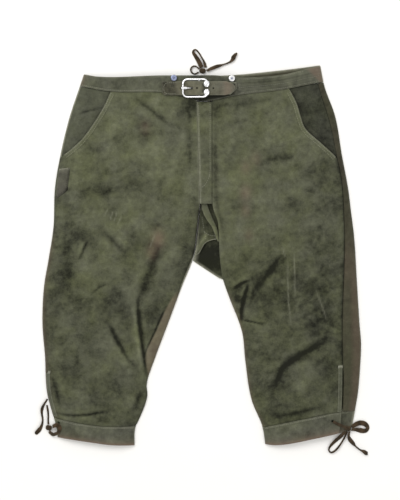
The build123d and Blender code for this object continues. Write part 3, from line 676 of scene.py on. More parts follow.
def front_panel(side):
    """Front leather of one leg, from the waist to the knee, with its folds and seams."""
    knee, mouth = KNEE[side], MOUTH[side]
    outer, inner = panel_edges(side)
    x, y = grid(*in_order(side, outer, inner), shift(knee, SEAM_GAP), shift(waist_seam, -SEAM_GAP))
    z, tone = surface(x, y)
    seam_gap = np.abs(x - inner(y))
    leg = smooth((CROTCH_Y - 30 - y) / 60)
    z = z - 3.4 * leg * fade(seam_gap, 4)
    tone = tone - 0.10 * smooth((80 - y) / 160)
    crotch = smooth((CROTCH_Y + 10 - y) / 30) * smooth((y + 60) / 40)
    if side == "right":
        z = round_off(z, x - right_side(y)) - 2.0 * crotch * fade(seam_gap, 6)
        # painted shade where the outer edge turns down, and in the dip of the crotch seam
        tone = tone - 0.28 * fade(x - right_side(y), 5) - 0.5 * crotch * fade(seam_gap, 3)
        fold_x = curve(y, [(-238, -110), (-167, -120), (-116, -126), (-66, -118), (-30, -103),
                           (26, -84), (60, -70)])
        inseam = curve(y, [(-238, -108), (-194, -112), (-145, -90), (-100, -70), (-54, -44),
                           (0, -22)])
        inside = smooth((x - fold_x) / 5) * smooth((20 - y) / 70)
        beyond = smooth((x - inseam) / 3) * smooth((-60 - y) / 30)
        # between the fold and the inseam the leather lies lower and is painted in shade; beyond the
        # inseam it is lighter and reddish
        tone = tone + inside * (0.14 * beyond - 0.14 * (1 - beyond) * smooth((-70 - y) / 50))
        z = z - 1.6 * inside * (1 - beyond)
        # painted shade along the sunken inner seam of the lower leg
        tone = tone - 0.2 * fade(seam_gap, 3) * smooth((40 - y) / 60)
        blush = scuffs(x, y) + 0.35 * inside * beyond + 0.4 * fade(x - right_side(y), 4) * leg
    else:
        lip = fade(seam_gap, 8) * smooth((110 - y) / 30) * smooth((y + 40) / 60)
        # painted highlight on the raised lip along the inner seam
        tone = tone + 0.16 * lip - 0.05 * smooth((70 - y) / 120)
        z = z + 1.2 * lip
        tone = tone - 0.34 * fade(np.abs(x - left_seam(y)), 3)
        blush = scuffs(x, y) + 0.35 * fade(seam_gap, 3) * smooth((-50 - y) / 40)
    hip = fade(np.abs(x - mouth(y)), 12) * smooth((y - 190) / 12)
    z = z - 0.6 * fade(waist_seam(x) - y, 3) - 0.6 * fade(y - knee(x), 3)
    # painted shadow just below the waist seam near the middle, under the strap
    tone = tone - 0.2 * fade(waist_seam(x) - y, 5) * smooth((100 - np.abs(x)) / 30)
    edge = border(x.shape, 1.2) * smooth((y - 90) / 20) * fade(seam_gap, 4) * (side == "right")
    piece = shell(f"{side}_front_panel", x, y, z, LEATHER, SUEDE, tone + 0.10 * hip,
                  wear=0.4 * edge + scratches(x, y), blush=blush)
    bend(piece, side, "suede", f"{side}_front_upper", f"{side}_front_leg")


def side_wrap():
    """Back leather that comes round the left side to the seam, apart from it down the slit."""
    def seam(y):
        return left_seam(y) + 0.8 + 1.8 * smooth((-214 - y) / 24)
    x, y = grid(seam, left_side, level(-308), shift(waist_seam, -1.5), 2.0)
    z, tone = surface(x, y)
    z = round_off(z, left_side(y) - x) - 1.0 * fade(x - seam(y), 2.5)
    edge_of = (x - seam(y)) / (left_side(y) - seam(y) + 0.01)
    green_in = smooth((0.75 - edge_of) / 0.4) * smooth((20 - y) / 100)
    piece = shell("left_side_wrap", x, y, z, LEATHER, SIDE_SUEDE, tone * 0.7 + 0.12 * green_in,
                  wear=np.zeros_like(x), blush=0.25 * (1 - green_in) * smooth((60 - y) / 120))
    bend(piece, "left", "suede", "left_back_upper", "left_back_leg")


def back_panel(side):
    """Back leather on the ground, from the waistband to the knee band."""
    if side == "right":
        def centre(y):
            return np.where(y > CROTCH_Y, CENTRE_X - 0.3, right_inner(y) - 0.6)
        ends = shift(right_side, 0.8), centre
    else:
        def centre(y):
            between = right_inner(y) + 0.8
            low = -14 + (-10 - y) / 36 * 55
            open_edge = np.where(y > -10, between, np.where(y > -46, low, left_inner(y) + 0.6))
            return np.where(y > CROTCH_Y, CENTRE_X + 0.3, open_edge)
        ends = centre, shift(left_side, -0.8)
    x, y = grid(*ends, shift(KNEE[side], SEAM_GAP), shift(waist_seam, -SEAM_GAP), 5.0)
    _, tone = relief(x, y)
    shade = 0.5 * bell(np.hypot(x - 14, y + 2), 42)
    z = 2.25 + 0.25 * fractal(x, y, 40, 3, 14.0)
    piece = shell(f"{side}_back_panel", x, y, z, LEATHER, SUEDE, tone - shade - 0.12)
    bend(piece, side, "suede", f"{side}_back_upper", f"{side}_back_leg")


def fly_flap():
    """Leather over the zip, hinged on the left front."""
    x, y = grid(fly_edge, level(FLAP_HINGE_X - 0.3), level(FLY_BOTTOM_Y), level(FLY_TOP_Y), 2.0)
    _, tone = relief(x, y)
    # pale band along the flap's free edge: painted highlight where the edge catches light, and its
    # pale cut edge
    edge = fade(x - fly_edge(y), 1.6)
    piece = shell("fly_cover", x, y, flap_z(x, y), LEATHER, SUEDE, tone + 0.01, wear=0.8 * edge)
    own(piece, "fly_flap", "suede", "fly_flap")


def gusset():
    """Kite of leather between the legs, gathered where its seams meet."""
    low = line([(-20, 2), (-6, 6), (6, 26), (18, 33), (36, 36)])
    x, y = grid(shift(right_inner, 1.6), shift(left_inner, -1.4), low, level(97), 1.8)
    along = np.clip((y + 4) / 104, 0, 1)
    across = np.clip((x - right_inner(y)) / (left_inner(y) - right_inner(y)), 0, 1)
    z = 5.4 + 6.2 * along ** 0.9
    dart, _ = distance(x, y, [(2, 84), (4, 66), (8, 50), (20, 42), (34, 40)])
    roll, _ = distance(x, y, [(-18, 2), (-8, 20), (2, 34), (8, 44)])
    z = z + 3.0 * bell(roll, 6) - 3.2 * bell(dart, 3)
    z = z + 0.8 * fractal(x, y, 9, 3, 2.0) - 2.5 * fade(across, 0.1)
    # painted shade along its right edge, where it drops, and beside the dart; painted highlight on
    # the rolled fold
    tone = -0.16 - 0.3 * fade(across, 0.1) + 0.12 * fractal(x, y, 12, 4, 9.0)
    tone = tone + 0.34 * bell(roll + 1, 5) - 0.2 * bell(dart - 8, 5)
    piece = shell("crotch_gusset_leather", x, y, z, THIN, SUEDE, tone)
    own(piece, "seat", "facing_suede", "crotch_gusset")


def fly_tail():
    """Lower end of the fly, twisted over the gusset and caught in the left inner seam."""
    left = line([(30, 33), (34, 31), (50, 25), (62, 19.5), (72, 12), (84, 5), (100, 0), (122, -3)])
    right = line([(30, 35), (50, 33), (64, 28), (80, 20.5), (98, 13.5), (112, 9), (122, 6)])
    x, y = grid(left, right, level(31), level(121), 1.6)
    across = np.clip((x - left(y)) / (right(y) - left(y)), 0, 1)
    z = 11.4 + 3.2 * smooth((y - 28) / 80) + 1.2 * np.sin(math.pi * across)
    tone = 0.14 + 0.1 * fractal(x, y, 12, 4, 6.0) - 0.25 * across ** 3
    piece = shell("fly_tail", x, y, z, THIN, SUEDE, tone, wear=0.3 * border(x.shape, 1.5))
    own(piece, "seat", "suede")


def mouth_frame(side):
    """Mouth line of a slanted pocket, its y range, and the way in towards the garment's middle."""
    return MOUTH[side], *((204, 329, 1) if side == "right" else (199, 333, -1))


def pocket_binding(side):
    """Turned and stitched edge of a pocket mouth."""
    mouth, low, high, inward = mouth_frame(side)
    t = np.linspace(0, 1, 60)[:, None]
    s_in = np.linspace(0, 1, 9)[None, :]
    y0 = low + (high - low) * t + 0 * s_in
    slope = (mouth(y0 + 1) - mouth(y0 - 1)) / 2
    away = np.stack([np.full_like(slope, inward), -inward * slope], axis=0)
    away = away / np.linalg.norm(away, axis=0)
    x = mouth(y0) + away[0] * (9.0 * s_in - 0.7)
    y = np.minimum(y0 + away[1] * (9.0 * s_in - 0.7), waist_seam(x) - 0.5)
    z, tone = surface(x, y)
    z = z + 0.75 - 1.6 * np.exp(-s_in * 14) - 0.45 * bell(s_in - 0.82, 0.06)
    z = z + 0.25 * fractal(x, y, 7, 2, 4.0)
    wear = 0.75 * np.exp(-s_in * 12) + 0 * t
    piece = shell(f"{side}_pocket_edge", x, y, z, TRIM_T, SUEDE, tone * 0.5 + 0.10, wear=wear)
    own(piece, "seat", "trim_suede", f"{side}_pocket_binding")


def pocket_facing(side):
    """Leather behind the mouth, seen between it and the side seam."""
    mouth, top = MOUTH[side], shift(waist_seam, -0.6)
    if side == "right":
        x, y = grid(right_side, shift(mouth, 12), level(197), top)
        behind = x - mouth(y)
    else:
        x, y = grid(shift(mouth, -12), shift(left_seam, 1), level(188), top)
        behind = mouth(y) - x
    z, tone = surface(x, y)
    z = z - 2.4 - 0.6 * smooth(behind / 4)
    z = round_off(z, x - right_side(y)) if side == "right" else z
    shade = fade(np.abs(behind), 5)
    lift = 0.06 if side == "right" else -0.2
    piece = shell(f"{side}_facing_leather", x, y, z, THIN, FACING,
                  0.7 * tone + lift - 0.25 * shade, wear=np.zeros_like(x))
    own(piece, "seat", "facing_suede", f"{side}_pocket_facing")


def pocket_bag(side):
    """Cotton bag, folded down its inner edge and open towards the mouth."""
    inner = [(78, -200), (100, -150), (200, -138), (318, -150)]
    outer = [(78, -200), (100, -236), (190, -246), (234, -224), (268, -206), (318, -182)]
    t, u = np.meshgrid(np.linspace(0, 1, 46), np.linspace(-1, 1, 31), indexing="ij")
    y = 80 + 236 * t
    x = curve(y, inner) + (curve(y, outer) - curve(y, inner)) * np.abs(u)
    x = x if side == "right" else 4 - 0.98 * x
    top, _ = surface(x, y)
    pucker = 0.4 * fractal(x, y, 11, 2, 7.0)
    middle, half = top - 5.8, 2.2 * smooth(np.abs(u) * 3) * smooth(t * 6) + 0.5
    z = middle + np.sign(u) * half + pucker
    piece = shell(f"{side}_pocket_lining", x, y, z, CLOTH, COTTON, up=False)
    own(piece, "seat", "pocket_cotton", f"{side}_pocket_bag")


def knife_pouch():
    """Narrow pouch over the right side seam, standing open at the top."""
    corners = np.array([(-291, 115), (-267, 133), (-284, 176), (-262, 178)], float)
    t, u = np.meshgrid(np.linspace(0, 1, 26), np.linspace(0, 1, 16), indexing="ij")
    low = corners[0] + (corners[1] - corners[0]) * u[..., None]
    high = corners[2] + (corners[3] - corners[2]) * u[..., None]
    flat = low + (high - low) * t[..., None]
    x, y = flat[..., 0], flat[..., 1]
    x = x - 1.2 * np.sin(math.pi * t) * (1 - u)
    base = crown_z(x, y)
    puff = np.sin(math.pi * np.clip(u, 0, 1)) ** 0.6 * smooth(t * 2.4)
    z = base + 0.9 + 4.4 * puff * (0.7 + 0.3 * t)
    # painted shade along the pouch's +x side, away from the key lamp, and at its lower end where it
    # meets the leg
    tone = 0.12 * fractal(x, y, 12, 4, 3.0) - 0.35 * np.exp(-(1 - u) * 9) - 0.3 * np.exp(-t * 12)
    piece = shell("knife_pouch", x, y, z, TRIM_T, KNIFE_SUEDE, tone + 0.06,
                  wear=0.8 * np.exp(-(1 - t) * 22))
    own(piece, "seat", "knife_suede", "knife_pocket")
    rim = np.stack([x, y, z + 0.1], axis=2)
    route = np.concatenate([rim[::-1, -3], rim[2, ::-1]])
    stitch("knife_pouch_thread", [route], "seat", DARK_THREAD_AND_HOLE_SHADOW)


def front_band(side):
    """Half of the front waistband, stitched in rows on the left."""
    outer, middle = OUTER[side], level(-6.05 if side == "right" else -6.0)
    x, y = grid(*in_order(side, outer, middle), shift(waist_seam, 0.2), waist_top, 2.0)
    gap = np.abs(x - outer(y))
    if side == "right":
        blush = 0.5 * fade(gap, 5)
    else:
        blush = 0.45 * smooth((x - 206 - 0.8 * (waist_top(x) - y)) / 10)
    tone = 0.16 * fractal(x, y, 50, 5, 12.0) + 0.12 * fractal(x, y, 15, 4, 2.0)
    z = band_z(x, y)
    rows = (y - waist_seam(x)) / (waist_top(x) - waist_seam(x))
    z = z - 1.0 * (np.exp(-rows * 14) + np.exp(-(1 - rows) * 14))
    if side == "left":
        for row in (0.42, 0.66):
            z = z - 0.5 * bell(rows - row, 0.035)
            tone = tone - 0.15 * bell(rows - row, 0.04)
    z = round_off(z, gap)
    # painted shadow along the top edge near the middle, by the bow, and across the lower rows under
    # the strap
    tone = tone - 0.25 * bell(x - 6, 60) * np.exp(-(1 - rows) * 5)
    tone = tone - 0.55 * np.exp(-((x - 8) / 52) ** 4) * smooth((0.34 - rows) / 0.15)
    piece = shell(f"{side}_front_band", x, y, z, BAND, BAND_SUEDE, tone, blush=blush,
                  wear=0.35 * border(x.shape, 1.5) * smooth((np.abs(x + 6) - 6) / 20))
    own(piece, "seat", "band_suede", f"{side}_front_waistband")


def back_band(side):
    """Half of the back waistband, raised beside the notch at the centre back."""
    if side == "right":
        ends = shift(right_side, 0.8), level(-18.0)
    else:
        ends = level(14.0), shift(left_side, -0.8)
    x, y = grid(*ends, shift(waist_seam, 0.2), back_top, 4.0)
    near = smooth(1 - (np.abs(x - CENTRE_X) - 32) / 10)
    z = BAND + 0.2 + 3.0 * near + 0.3 * fractal(x, y, 40, 3, 4.0)
    tone = 0.2 * fractal(x, y, 40, 5, 15.0)
    piece = shell(f"{side}_back_band", x, y, z, BAND, SIDE_SUEDE, tone + 0.1)
    own(piece, "seat", "band_suede", f"{side}_back_waistband")


def knee_band(side, layer):
    """Front or back layer of a knee band; the front one has the lace's hole."""
    outer = left_seam if (side, layer) == ("left", "front") else OUTER[side]
    inner, knee, hem = INNER[side], KNEE[side], HEM[side]
    x, y = grid(*in_order(side, outer, inner), hem, shift(knee, -0.2), 2.0)
    tone = 0.2 * fractal(x, y, 40, 5, 18.0) + 0.12 * fractal(x, y, 12, 4, 7.0) + 0.02
    rows = (y - hem(x)) / (knee(x) - hem(x))
    if layer == "back":
        wave = 0.4 * fractal(x, y, 20, 2, 5.0) * smooth((x - left_side(y) + 30) / 10)
        piece = shell(f"{side}_knee_band_under", x, y, np.full_like(x, BAND) + wave, BAND - 0.3,
                      BAND_SUEDE, tone, blush=0.6 * np.exp(-rows * 7))
        own(piece, f"{side}_leg", "band_suede", f"{side}_knee_band_back")
        return
    z = cuff_z(x, y) - 3.0 * fade(np.abs(x - inner(y)), 3)
    if side == "right":
        z = round_off(z, x - right_side(y))
    blush = 0.8 * np.exp(-rows * 8)
    piece = shell(f"{side}_knee_band_leather", x, y, z, BAND, BAND_SUEDE, tone,
                  wear=0.35 * border(x.shape, 1.4) * smooth(rows * 3), blush=blush)
    punch(piece, circle(*((-285, -331) if side == "right" else (261, -327)), 2.5))
    own(piece, f"{side}_leg", "band_suede", f"{side}_knee_band_front")


def placket(side):
    """Bound edge of a knee slit, with a bartack at its top."""
    if side == "right":
        left_of, right_of, low, high = shift(right_side, 1.6), shift(right_side, 8.6), -318, -232
    else:
        left_of, right_of, low, high = shift(left_seam, -8.2), shift(left_seam, -0.3), -309, -220
    x, y = grid(left_of, right_of, level(low), level(high), 1.3)
    z, tone = surface(x, y)
    if side == "right":
        z = round_off(z, x - right_side(y))
    across = (x - left_of(y)) / (right_of(y) - left_of(y))
    z = z + 0.7 + 0.5 * np.sin(math.pi * across)
    piece = shell(f"{side}_placket", x, y, z, TRIM_T, TRIM, 0.5 * tone - 0.05,
                  wear=0.35 * border(x.shape, 1.3))
    own(piece, f"{side}_leg", "trim_suede", f"{side}_slit_placket")
    bars = []
    count, start = (4, 3.5) if side == "right" else (7, -0.5)
    for k in range(count):
        a, b = float(left_of(high + 2.0)) + start + 1.3 * k, high + 1.2 * (k % 2)
        bars.append(over(panel_top, (a, a + 0.9), (b - 2, b + 4), 1.0))
    own(threads(f"{side}_slit_bartack", bars, 0.6, THREAD), f"{side}_leg", "trim_suede")


# --- strap and buckle fold
def circle(x, y, radius, count=20):
    return [(x + radius * math.cos(a), y + radius * math.sin(a))
            for a in np.linspace(0, 2 * math.pi, count + 1)[:-1]]


def rectangle(x0, x1, y0, y1):
    return [(x0, y0), (x1, y0), (x1, y1), (x0, y1)]


def punch(piece, *outlines):
    """Cut holes straight down through a piece."""
    for outline in outlines:
        points = [(*p, z) for z in (-5, 60) for p in outline]
        cutter = make_object("cutter", points, tube_faces(2, len(outline)),
                             piece.data.materials[0], smooth_faces=False)
        cut = piece.modifiers.new("cut", "BOOLEAN")
        cut.operation, cut.object, cut.solver = "DIFFERENCE", cutter, "EXACT"
        graph = bpy.context.evaluated_depsgraph_get()
        mesh = bpy.data.meshes.new_from_object(piece.evaluated_get(graph))
        piece.modifiers.clear()
        piece.data = mesh
        bpy.data.objects.remove(cutter)


def rounded(points, rounds=3):
    """Corner-cut a polyline so that leather bends in curves."""
    p = np.array(points, float)
    for _ in range(rounds):
        a, b = p[:-1], p[1:]
        inner = np.stack([0.75 * a + 0.25 * b, 0.25 * a + 0.75 * b], axis=1).reshape(-1, 2)
        p = np.concatenate([p[:1], inner, p[-1:]])
    return p


def travelled(points):
    """Length of a polyline up to each of its points."""
    return np.concatenate([[0], np.cumsum(np.linalg.norm(np.diff(points, axis=0), axis=1))])


def resample(points, pitch):
    """Points every `pitch` along a polyline."""
    p = np.asarray(points, float)
    run = travelled(p)
    at = np.linspace(0, run[-1], max(2, int(run[-1] / pitch) + 1))
    return np.stack([np.interp(at, run, p[:, k]) for k in range(p.shape[1])], axis=1)


def strap():
    """Waist strap: over the buckle's bar, its end cut to a blunt tongue."""
    path = resample(rounded([(-79, 18.7), (-46, 18.7), (-33, 18.7), (-22, 24.4), (-3, 24.3),
                             (6, 21.6), (14, 21.4), (30, 21.6), (67, 22.2)]), 1.6)
    v = np.linspace(-1, 1, 19)
    x = path[:, :1] + 0 * v
    end = 67 - x
    top = np.where(end < 18, 9 + (14 - 9) * (end - 6) / 12, 14)
    top = np.where(end < 6, 3 + 6 * np.sqrt(np.clip(end / 6, 0, 1)), top)
    low = np.where(end < 20, 12 + 2 * (end - 12) / 8, 14)
    low = np.where(end < 12, 2 + 10 * (np.clip(end, 0, 12) / 12) ** 0.7, low)
    start = x + 79
    low = np.where(start < 5, 9 + start, low)
    middle = 2 * np.clip(1 - end / 14, 0, 1)
    y = STRAP_Y + middle + np.where(v > 0, (top - middle) * v, (low + middle) * v)
    z = path[:, 1:] - 0.7 * np.abs(v) ** 6 + 0.08 * fractal(x, y, 14, 3, 31.0)
    tone = 0.1 * fractal(x, y, 22, 4, 23.0) - 0.25 * smooth((-44 - x) / 12)
    brown = 0.35 * bell(x - 52, 10)
    piece = shell("waist_strap_leather", x, y, z, STRAP_T, STRAP, tone,
                  wear=0.25 * border(x.shape, 1.4), blush=brown)
    punch(piece, *(circle(x, STRAP_Y, 1.7) for x, _ in STRAP_HOLES),
          rectangle(-28, -17.2, STRAP_Y - 2.4, STRAP_Y + 2.4))
    own(piece, "seat", "trim_suede", "waist_strap")
    # black discs down in the holes: painted shadow inside the strap's holes
    vertices, faces = [], []
    for x, z in STRAP_HOLES:
        faces += tube_faces(2, 14, len(vertices))
        vertices += [(*p, z + dz) for dz in (-0.4, 0.2) for p in circle(x, STRAP_Y, 1.62, 14)]
    own(make_object("strap_hole_bottoms", vertices, faces, DARK_THREAD_AND_HOLE_SHADOW), "seat", "trim_suede")
    box = rounded([(-50, 347), (-75, 347), (-75, 328), (-70, 325), (-50, 325)], 1)
    route = np.column_stack([box, np.full(len(box), 18.85)])
    stitch("strap_thread", [route], "seat")


def chape():
    """Short strap folded round the buckle's bar, its two layers sewn to the left band."""
    ring = [(-5 - 2.7 * math.sin(a), 19.2 + 2.7 * math.cos(a)) for a in np.linspace(0, math.pi, 12)]
    path = [(69.5, 19.4), (30, 19.4), (10, 19.6), (2, 21.6)] + ring + [(4, 16.6), (69.5, 16.6)]
    path = resample(path, 1.5)
    v = np.linspace(-1, 1, 15)
    x, z = path[:, :1] + 0 * v, path[:, 1:] + 0 * v
    y = STRAP_Y - np.where(v > 0, (12 - 0.9 * np.maximum(x - 58, 0)) * v, 11.5 * v)
    # darker all over where it lies under the strap: painted shadow, darkest at its end beside the
    # strap's tip
    dark = 0.25 + 0.35 * bell(x - 66, 4)
    piece = shell("buckle_fold_leather", x, y, z, 1.3, BAND_SUEDE,
                  0.1 * fractal(x, y, 20, 3, 3.0) - dark, up=False)
    punch(piece, rectangle(-12, 4, STRAP_Y - 2.8, STRAP_Y + 2.8))
    own(piece, "seat", "trim_suede", "buckle_chape")


# --- thread and laces
def threads(name, runs, radius, material):
    """Short lengths of thread, one per run of points, as one piece."""
    vertices, faces = [], []
    for run in runs:
        run = np.asarray(run, float)
        dip = -0.6 * radius * UP
        middle = run.mean(axis=0)
        spine = [run[0] + dip, 0.6 * middle + 0.4 * run[0], 0.6 * middle + 0.4 * run[-1],
                 run[-1] + dip]
        forward = run[-1] - run[0]
        forward = forward / (np.linalg.norm(forward) + 1e-9)
        side = np.cross(forward, UP)
        side = side / (np.linalg.norm(side) + 1e-9)
        up = np.cross(side, forward)
        faces += tube_faces(4, 6, len(vertices))
        vertices += [place + grow * radius * (math.cos(angle) * side + math.sin(angle) * up)
                     for place, grow in zip(spine, (0.45, 1, 1, 0.45))
                     for angle in np.linspace(0, 2 * math.pi, 7)[:-1]]
    return make_object(name, vertices, faces, material)


def stitch(name, routes, body, material=THREAD):
    """Running stitches along routes of (x, y, z)."""
    runs = []
    for route in routes:
        points = resample(route, STITCH_PITCH)
        for a, b in zip(points, points[1:]):
            runs.append([a, a + (b - a) * STITCH_LENGTH / (np.linalg.norm(b - a) + 1e-9)])
    own(threads(name, runs, STITCH_R, material), body, "trim_suede")


def over(height, xs, ys, lift=0.35):
    """Route over a surface."""
    x, y = np.broadcast_arrays(np.asarray(xs, float), np.asarray(ys, float))
    return np.stack([x, y, height(x, y) + lift], axis=1)


def panel_top(x, y):
    return surface(x, y)[0]


def seams():
    """Topstitching that shows from the front."""
    x = np.arange(-238, -84, 2.0)
    stitch("right_waist_thread", [over(band_z, x, waist_seam(x) + 3.4, 0.15)], "seat")
    x = np.arange(74, 238, 2.0)
    span = waist_top(x) - waist_seam(x)
    rows = [over(band_z, x, waist_seam(x) + 3.4, 0.15),
            over(band_z, x, waist_seam(x) + 0.42 * span, 0),
            over(band_z, x[x < 206], (waist_seam(x) + 0.9 * span)[x < 206], 0)]
    stitch("left_waist_thread", rows, "seat")
    for side in SIDES:
        mouth, low, high, inward = mouth_frame(side)
        y = np.arange(low, high, 2.0)
        slope = (mouth(y + 1) - mouth(y - 1)) / 2
        size = np.hypot(1, slope)
        rows = []
        for reach in (1.6, 6.6):
            px, py = mouth(y) + inward * reach / size, y - inward * slope * reach / size
            inside = py < waist_seam(px) - 1
            rows.append(over(panel_top, px[inside], py[inside], 0.85 if reach < 3 else 0.5))
        stitch(f"{side}_pocket_thread", rows, "seat")
        x = np.arange(-288, -134, 2.0) if side == "right" else np.arange(122, 250, 2.0)
        stitch(f"{side}_knee_thread", [over(cuff_z, x, KNEE[side](x) - 3.4, 0.2)],
               f"{side}_leg")
    y = np.arange(FLY_BOTTOM_Y + 26, FLY_TOP_Y - 4, 2.0)
    edge = over(flap_z, fly_edge(y) + 3.2, y, 0.3)
    y = np.concatenate([np.arange(FLY_TOP_Y - 4, 172, -2.0), [162, 152, 144, 138]])
    x = np.concatenate([np.full(len(y) - 4, FLAP_HINGE_X - 4.0), [16, 12.5, 7, 0.5]])
    stitch("fly_thread", [edge, over(flap_z, x, y, 0.3)], "fly_flap")
    stitch("gusset_thread", [[(6, 50, 11.4), (12, 45, 11), (22, 42.5, 10.6), (32, 42, 10.6)],
                             [(5, 52, 11.6), (7, 46, 11.6), (9, 40, 11.2), (8, 33, 10.6)],
                             [(1, 80, 13.6), (3, 66, 12.8), (5, 56, 12.2)]], "seat")


WAIST_KNOT, KNEE_KNOTS = (2.0, 372.0, 3.6), ((-305.0, -341.0, 3.6), (292.0, -342.0, 6.4))
KNOT_SIZE = np.array((7.5, 6.0, 3.4))    # half its extents
# free laces: body, far end, widths seen along it, and its route from the knot outwards
LACES = {
    "waist_bow_loop_large": (
        "seat", "knot", [9, 9, 8.5, 7, 4, 3.5, 4, 6, 7],
        [(0, 378.5, 4), (-5, 391, 3), (-12.5, 402, 2.2), (-18, 410, 1.9), (-13, 416, 1.9),
         (-6, 410, 1.9), (1, 398, 2.4), (7, 387, 3), (8, 378.5, 4)]),
    "waist_bow_loop_small": (
        "seat", "knot", [3, 2.6, 3, 4.2, 3, 2.4, 3],
        [(-5.8, 369.5, 3.4), (-11, 365, 2.4), (-19, 367, 1.9), (-22.5, 375, 1.9),
         (-17.5, 382, 1.9), (-9.5, 381.5, 2.8), (-4.6, 375.5, 3.8)]),
    "waist_bow_tail": (
        "seat", "bare", [6, 8, 8, 4, 5, 9.5, 6],
        [(10.4, 372, 3.8), (22, 378, 2.4), (37, 383, 1.9), (52, 387, 1.9), (62, 393, 1.9),
         (65, 402, 1.9), (71, 408, 1.9)]),
    "left_knee_loop": (
        "left_leg", "knot", [7, 8, 8, 7, 4.5, 4.5, 5, 4, 4, 5],
        [(288, -348.2, 6.2), (282, -355, 4.6), (268, -367, 2.4), (257, -378, 2),
         (253.5, -386, 1.9), (259, -392, 1.9), (268, -387, 1.9), (277, -376, 1.9),
         (285.5, -362, 2.8), (291, -348.4, 6)]),
    "left_knee_tail": (
        "left_leg", "bare", [5, 6, 9, 8, 3.2, 3.2, 8, 9],
        [(296, -348.6, 5.8), (293.5, -355.5, 3.2), (295.5, -364, 2), (302, -371, 1.9),
         (309, -379.5, 1.9), (317.5, -386, 1.9), (326, -389, 1.9), (332, -395, 1.9)]),
    "left_knee_side_loop": (
        "left_leg", "knot", [7, 9, 10, 10, 8, 9, 10, 8, 7],
        [(299.9, -339.5, 6.6), (308, -334, 4), (318, -331, 2), (328, -333.5, 1.9),
         (333.5, -341, 1.9), (328, -348.5, 1.9), (317, -346.5, 1.9), (307.5, -344.5, 3.6),
         (300, -344.5, 6.4)]),
    "right_knee_outer_lace": (
        "right_leg", "bare", [4, 5, 7, 5, 4, 6, 9, 8],
        [(-308, -284, 1.9), (-314, -293, 1.9), (-319, -303, 1.9), (-319.5, -313, 1.9),
         (-317, -323, 1.9), (-318, -334, 1.9), (-323, -345, 1.9), (-332, -354, 1.9)]),
    "right_knee_inner_lace": (
        "right_leg", "knot", [4, 5, 4, 4, 5],
        [(-309, -296, 1.9), (-307, -306, 1.9), (-306, -317, 1.9), (-306.6, -326, 1.9),
         (-306, -334.4, 2.6)]),
    "right_knee_loop": (
        "right_leg", "knot", [7, 9, 9, 7, 8, 8, 7],
        [(-297.4, -339, 6.4), (-291, -334, 10.6), (-283, -338, 12), (-282.5, -347, 12),
         (-290, -353, 10.5), (-298.5, -355, 6.5), (-304.5, -348.6, 3.4)]),
}
# a short stub of the left knee's lace, up to its hole
KNEE_STUB = [(290, -341, 8), (280, -337, 14.2), (271, -333, 15.8), (262, -328, 16.3)]
# sections: across and up, as parts of the half width and half thickness
RIBBON_SECTION = ((-1, -0.55), (-0.5, -1), (0.5, -1), (1, -0.55), (1, 0.55), (0.5, 1), (-0.5, 1),
                  (-1, 0.55))
KNOT_SECTION = ((-1, 0), (-0.5, 0.7), (0.5, 0.7), (1, 0), (0.5, -0.7), (-0.5, -0.7))


def smooth_route(points):
    """Points along the NURBS curve that a lace follows, in millimetres."""
    data = bpy.data.curves.new("route", "CURVE")
    data.dimensions = "3D"
    spline = data.splines.new("NURBS")
    spline.points.add(len(points) - 1)
    for point, place in zip(spline.points, points):
        point.co = (*(MM * c for c in place), 1)
    spline.order_u = 3
    spline.use_endpoint_u = True
    data.resolution_u = 10
    carrier = put("route", data)
    graph = bpy.context.evaluated_depsgraph_get()
    mesh = bpy.data.meshes.new_from_object(carrier.evaluated_get(graph))
    path = np.array([vertex.co for vertex in mesh.vertices]) / MM
    bpy.data.objects.remove(carrier)
    bpy.data.meshes.remove(mesh)
    return path


def ribbon_rings(path, widths):
    """Rounded flat sections along a path: seen width, and the rest of the lace turned on edge."""
    tangent = np.gradient(path, axis=0)
    tangent /= np.linalg.norm(tangent, axis=1, keepdims=True) + 1e-9
    rings = []
    for place, run, width in zip(path, tangent, widths):
        side = np.cross(run, UP)
        side /= np.linalg.norm(side) + 1e-9
        up = np.cross(side, run)
        tilt = math.acos(min(1.0, width / 10.0)) * 0.8
        wide = math.cos(tilt) * side + math.sin(tilt) * up
        thin = np.cross(run, wide)
        half = 0.5 * max(width, LACE_W * 0.75)
        ring = np.array([place + a * half * wide + b * LACE_T / 2 * thin
                         for a, b in RIBBON_SECTION])
        ring[:, 2] += max(0.0, 0.2 - ring[:, 2].min())
        rings.append(ring)
    return rings


def ribbon(name, path, widths):
    """Flat lace along a path, rubbed along its edges."""
    vertices = np.concatenate(ribbon_rings(path, widths))
    index, count = np.arange(len(vertices)), len(RIBBON_SECTION)
    tone = 0.25 * np.sin(index // count * 0.35) + 0.05
    wear = np.where(index % count % 4 == 0, 0.5, 0.1)
    return make_object(name, vertices, tube_faces(len(path), count), LACE,
                       {"tone": tone, "wear": wear})


def lace(name):
    """Free lace from its knot."""
    body, far_end, widths, points = LACES[name]
    path = smooth_route(points)
    run = travelled(path)
    widths = np.interp(run / run[-1], np.linspace(0, 1, len(widths)), widths)
    if far_end == "bare":
        widths = widths * np.where(run > run[-1] - 2, 0.55, 1)
    piece = ribbon(name + "_leather", path, widths)
    own(piece, body, "lace_leather", name)


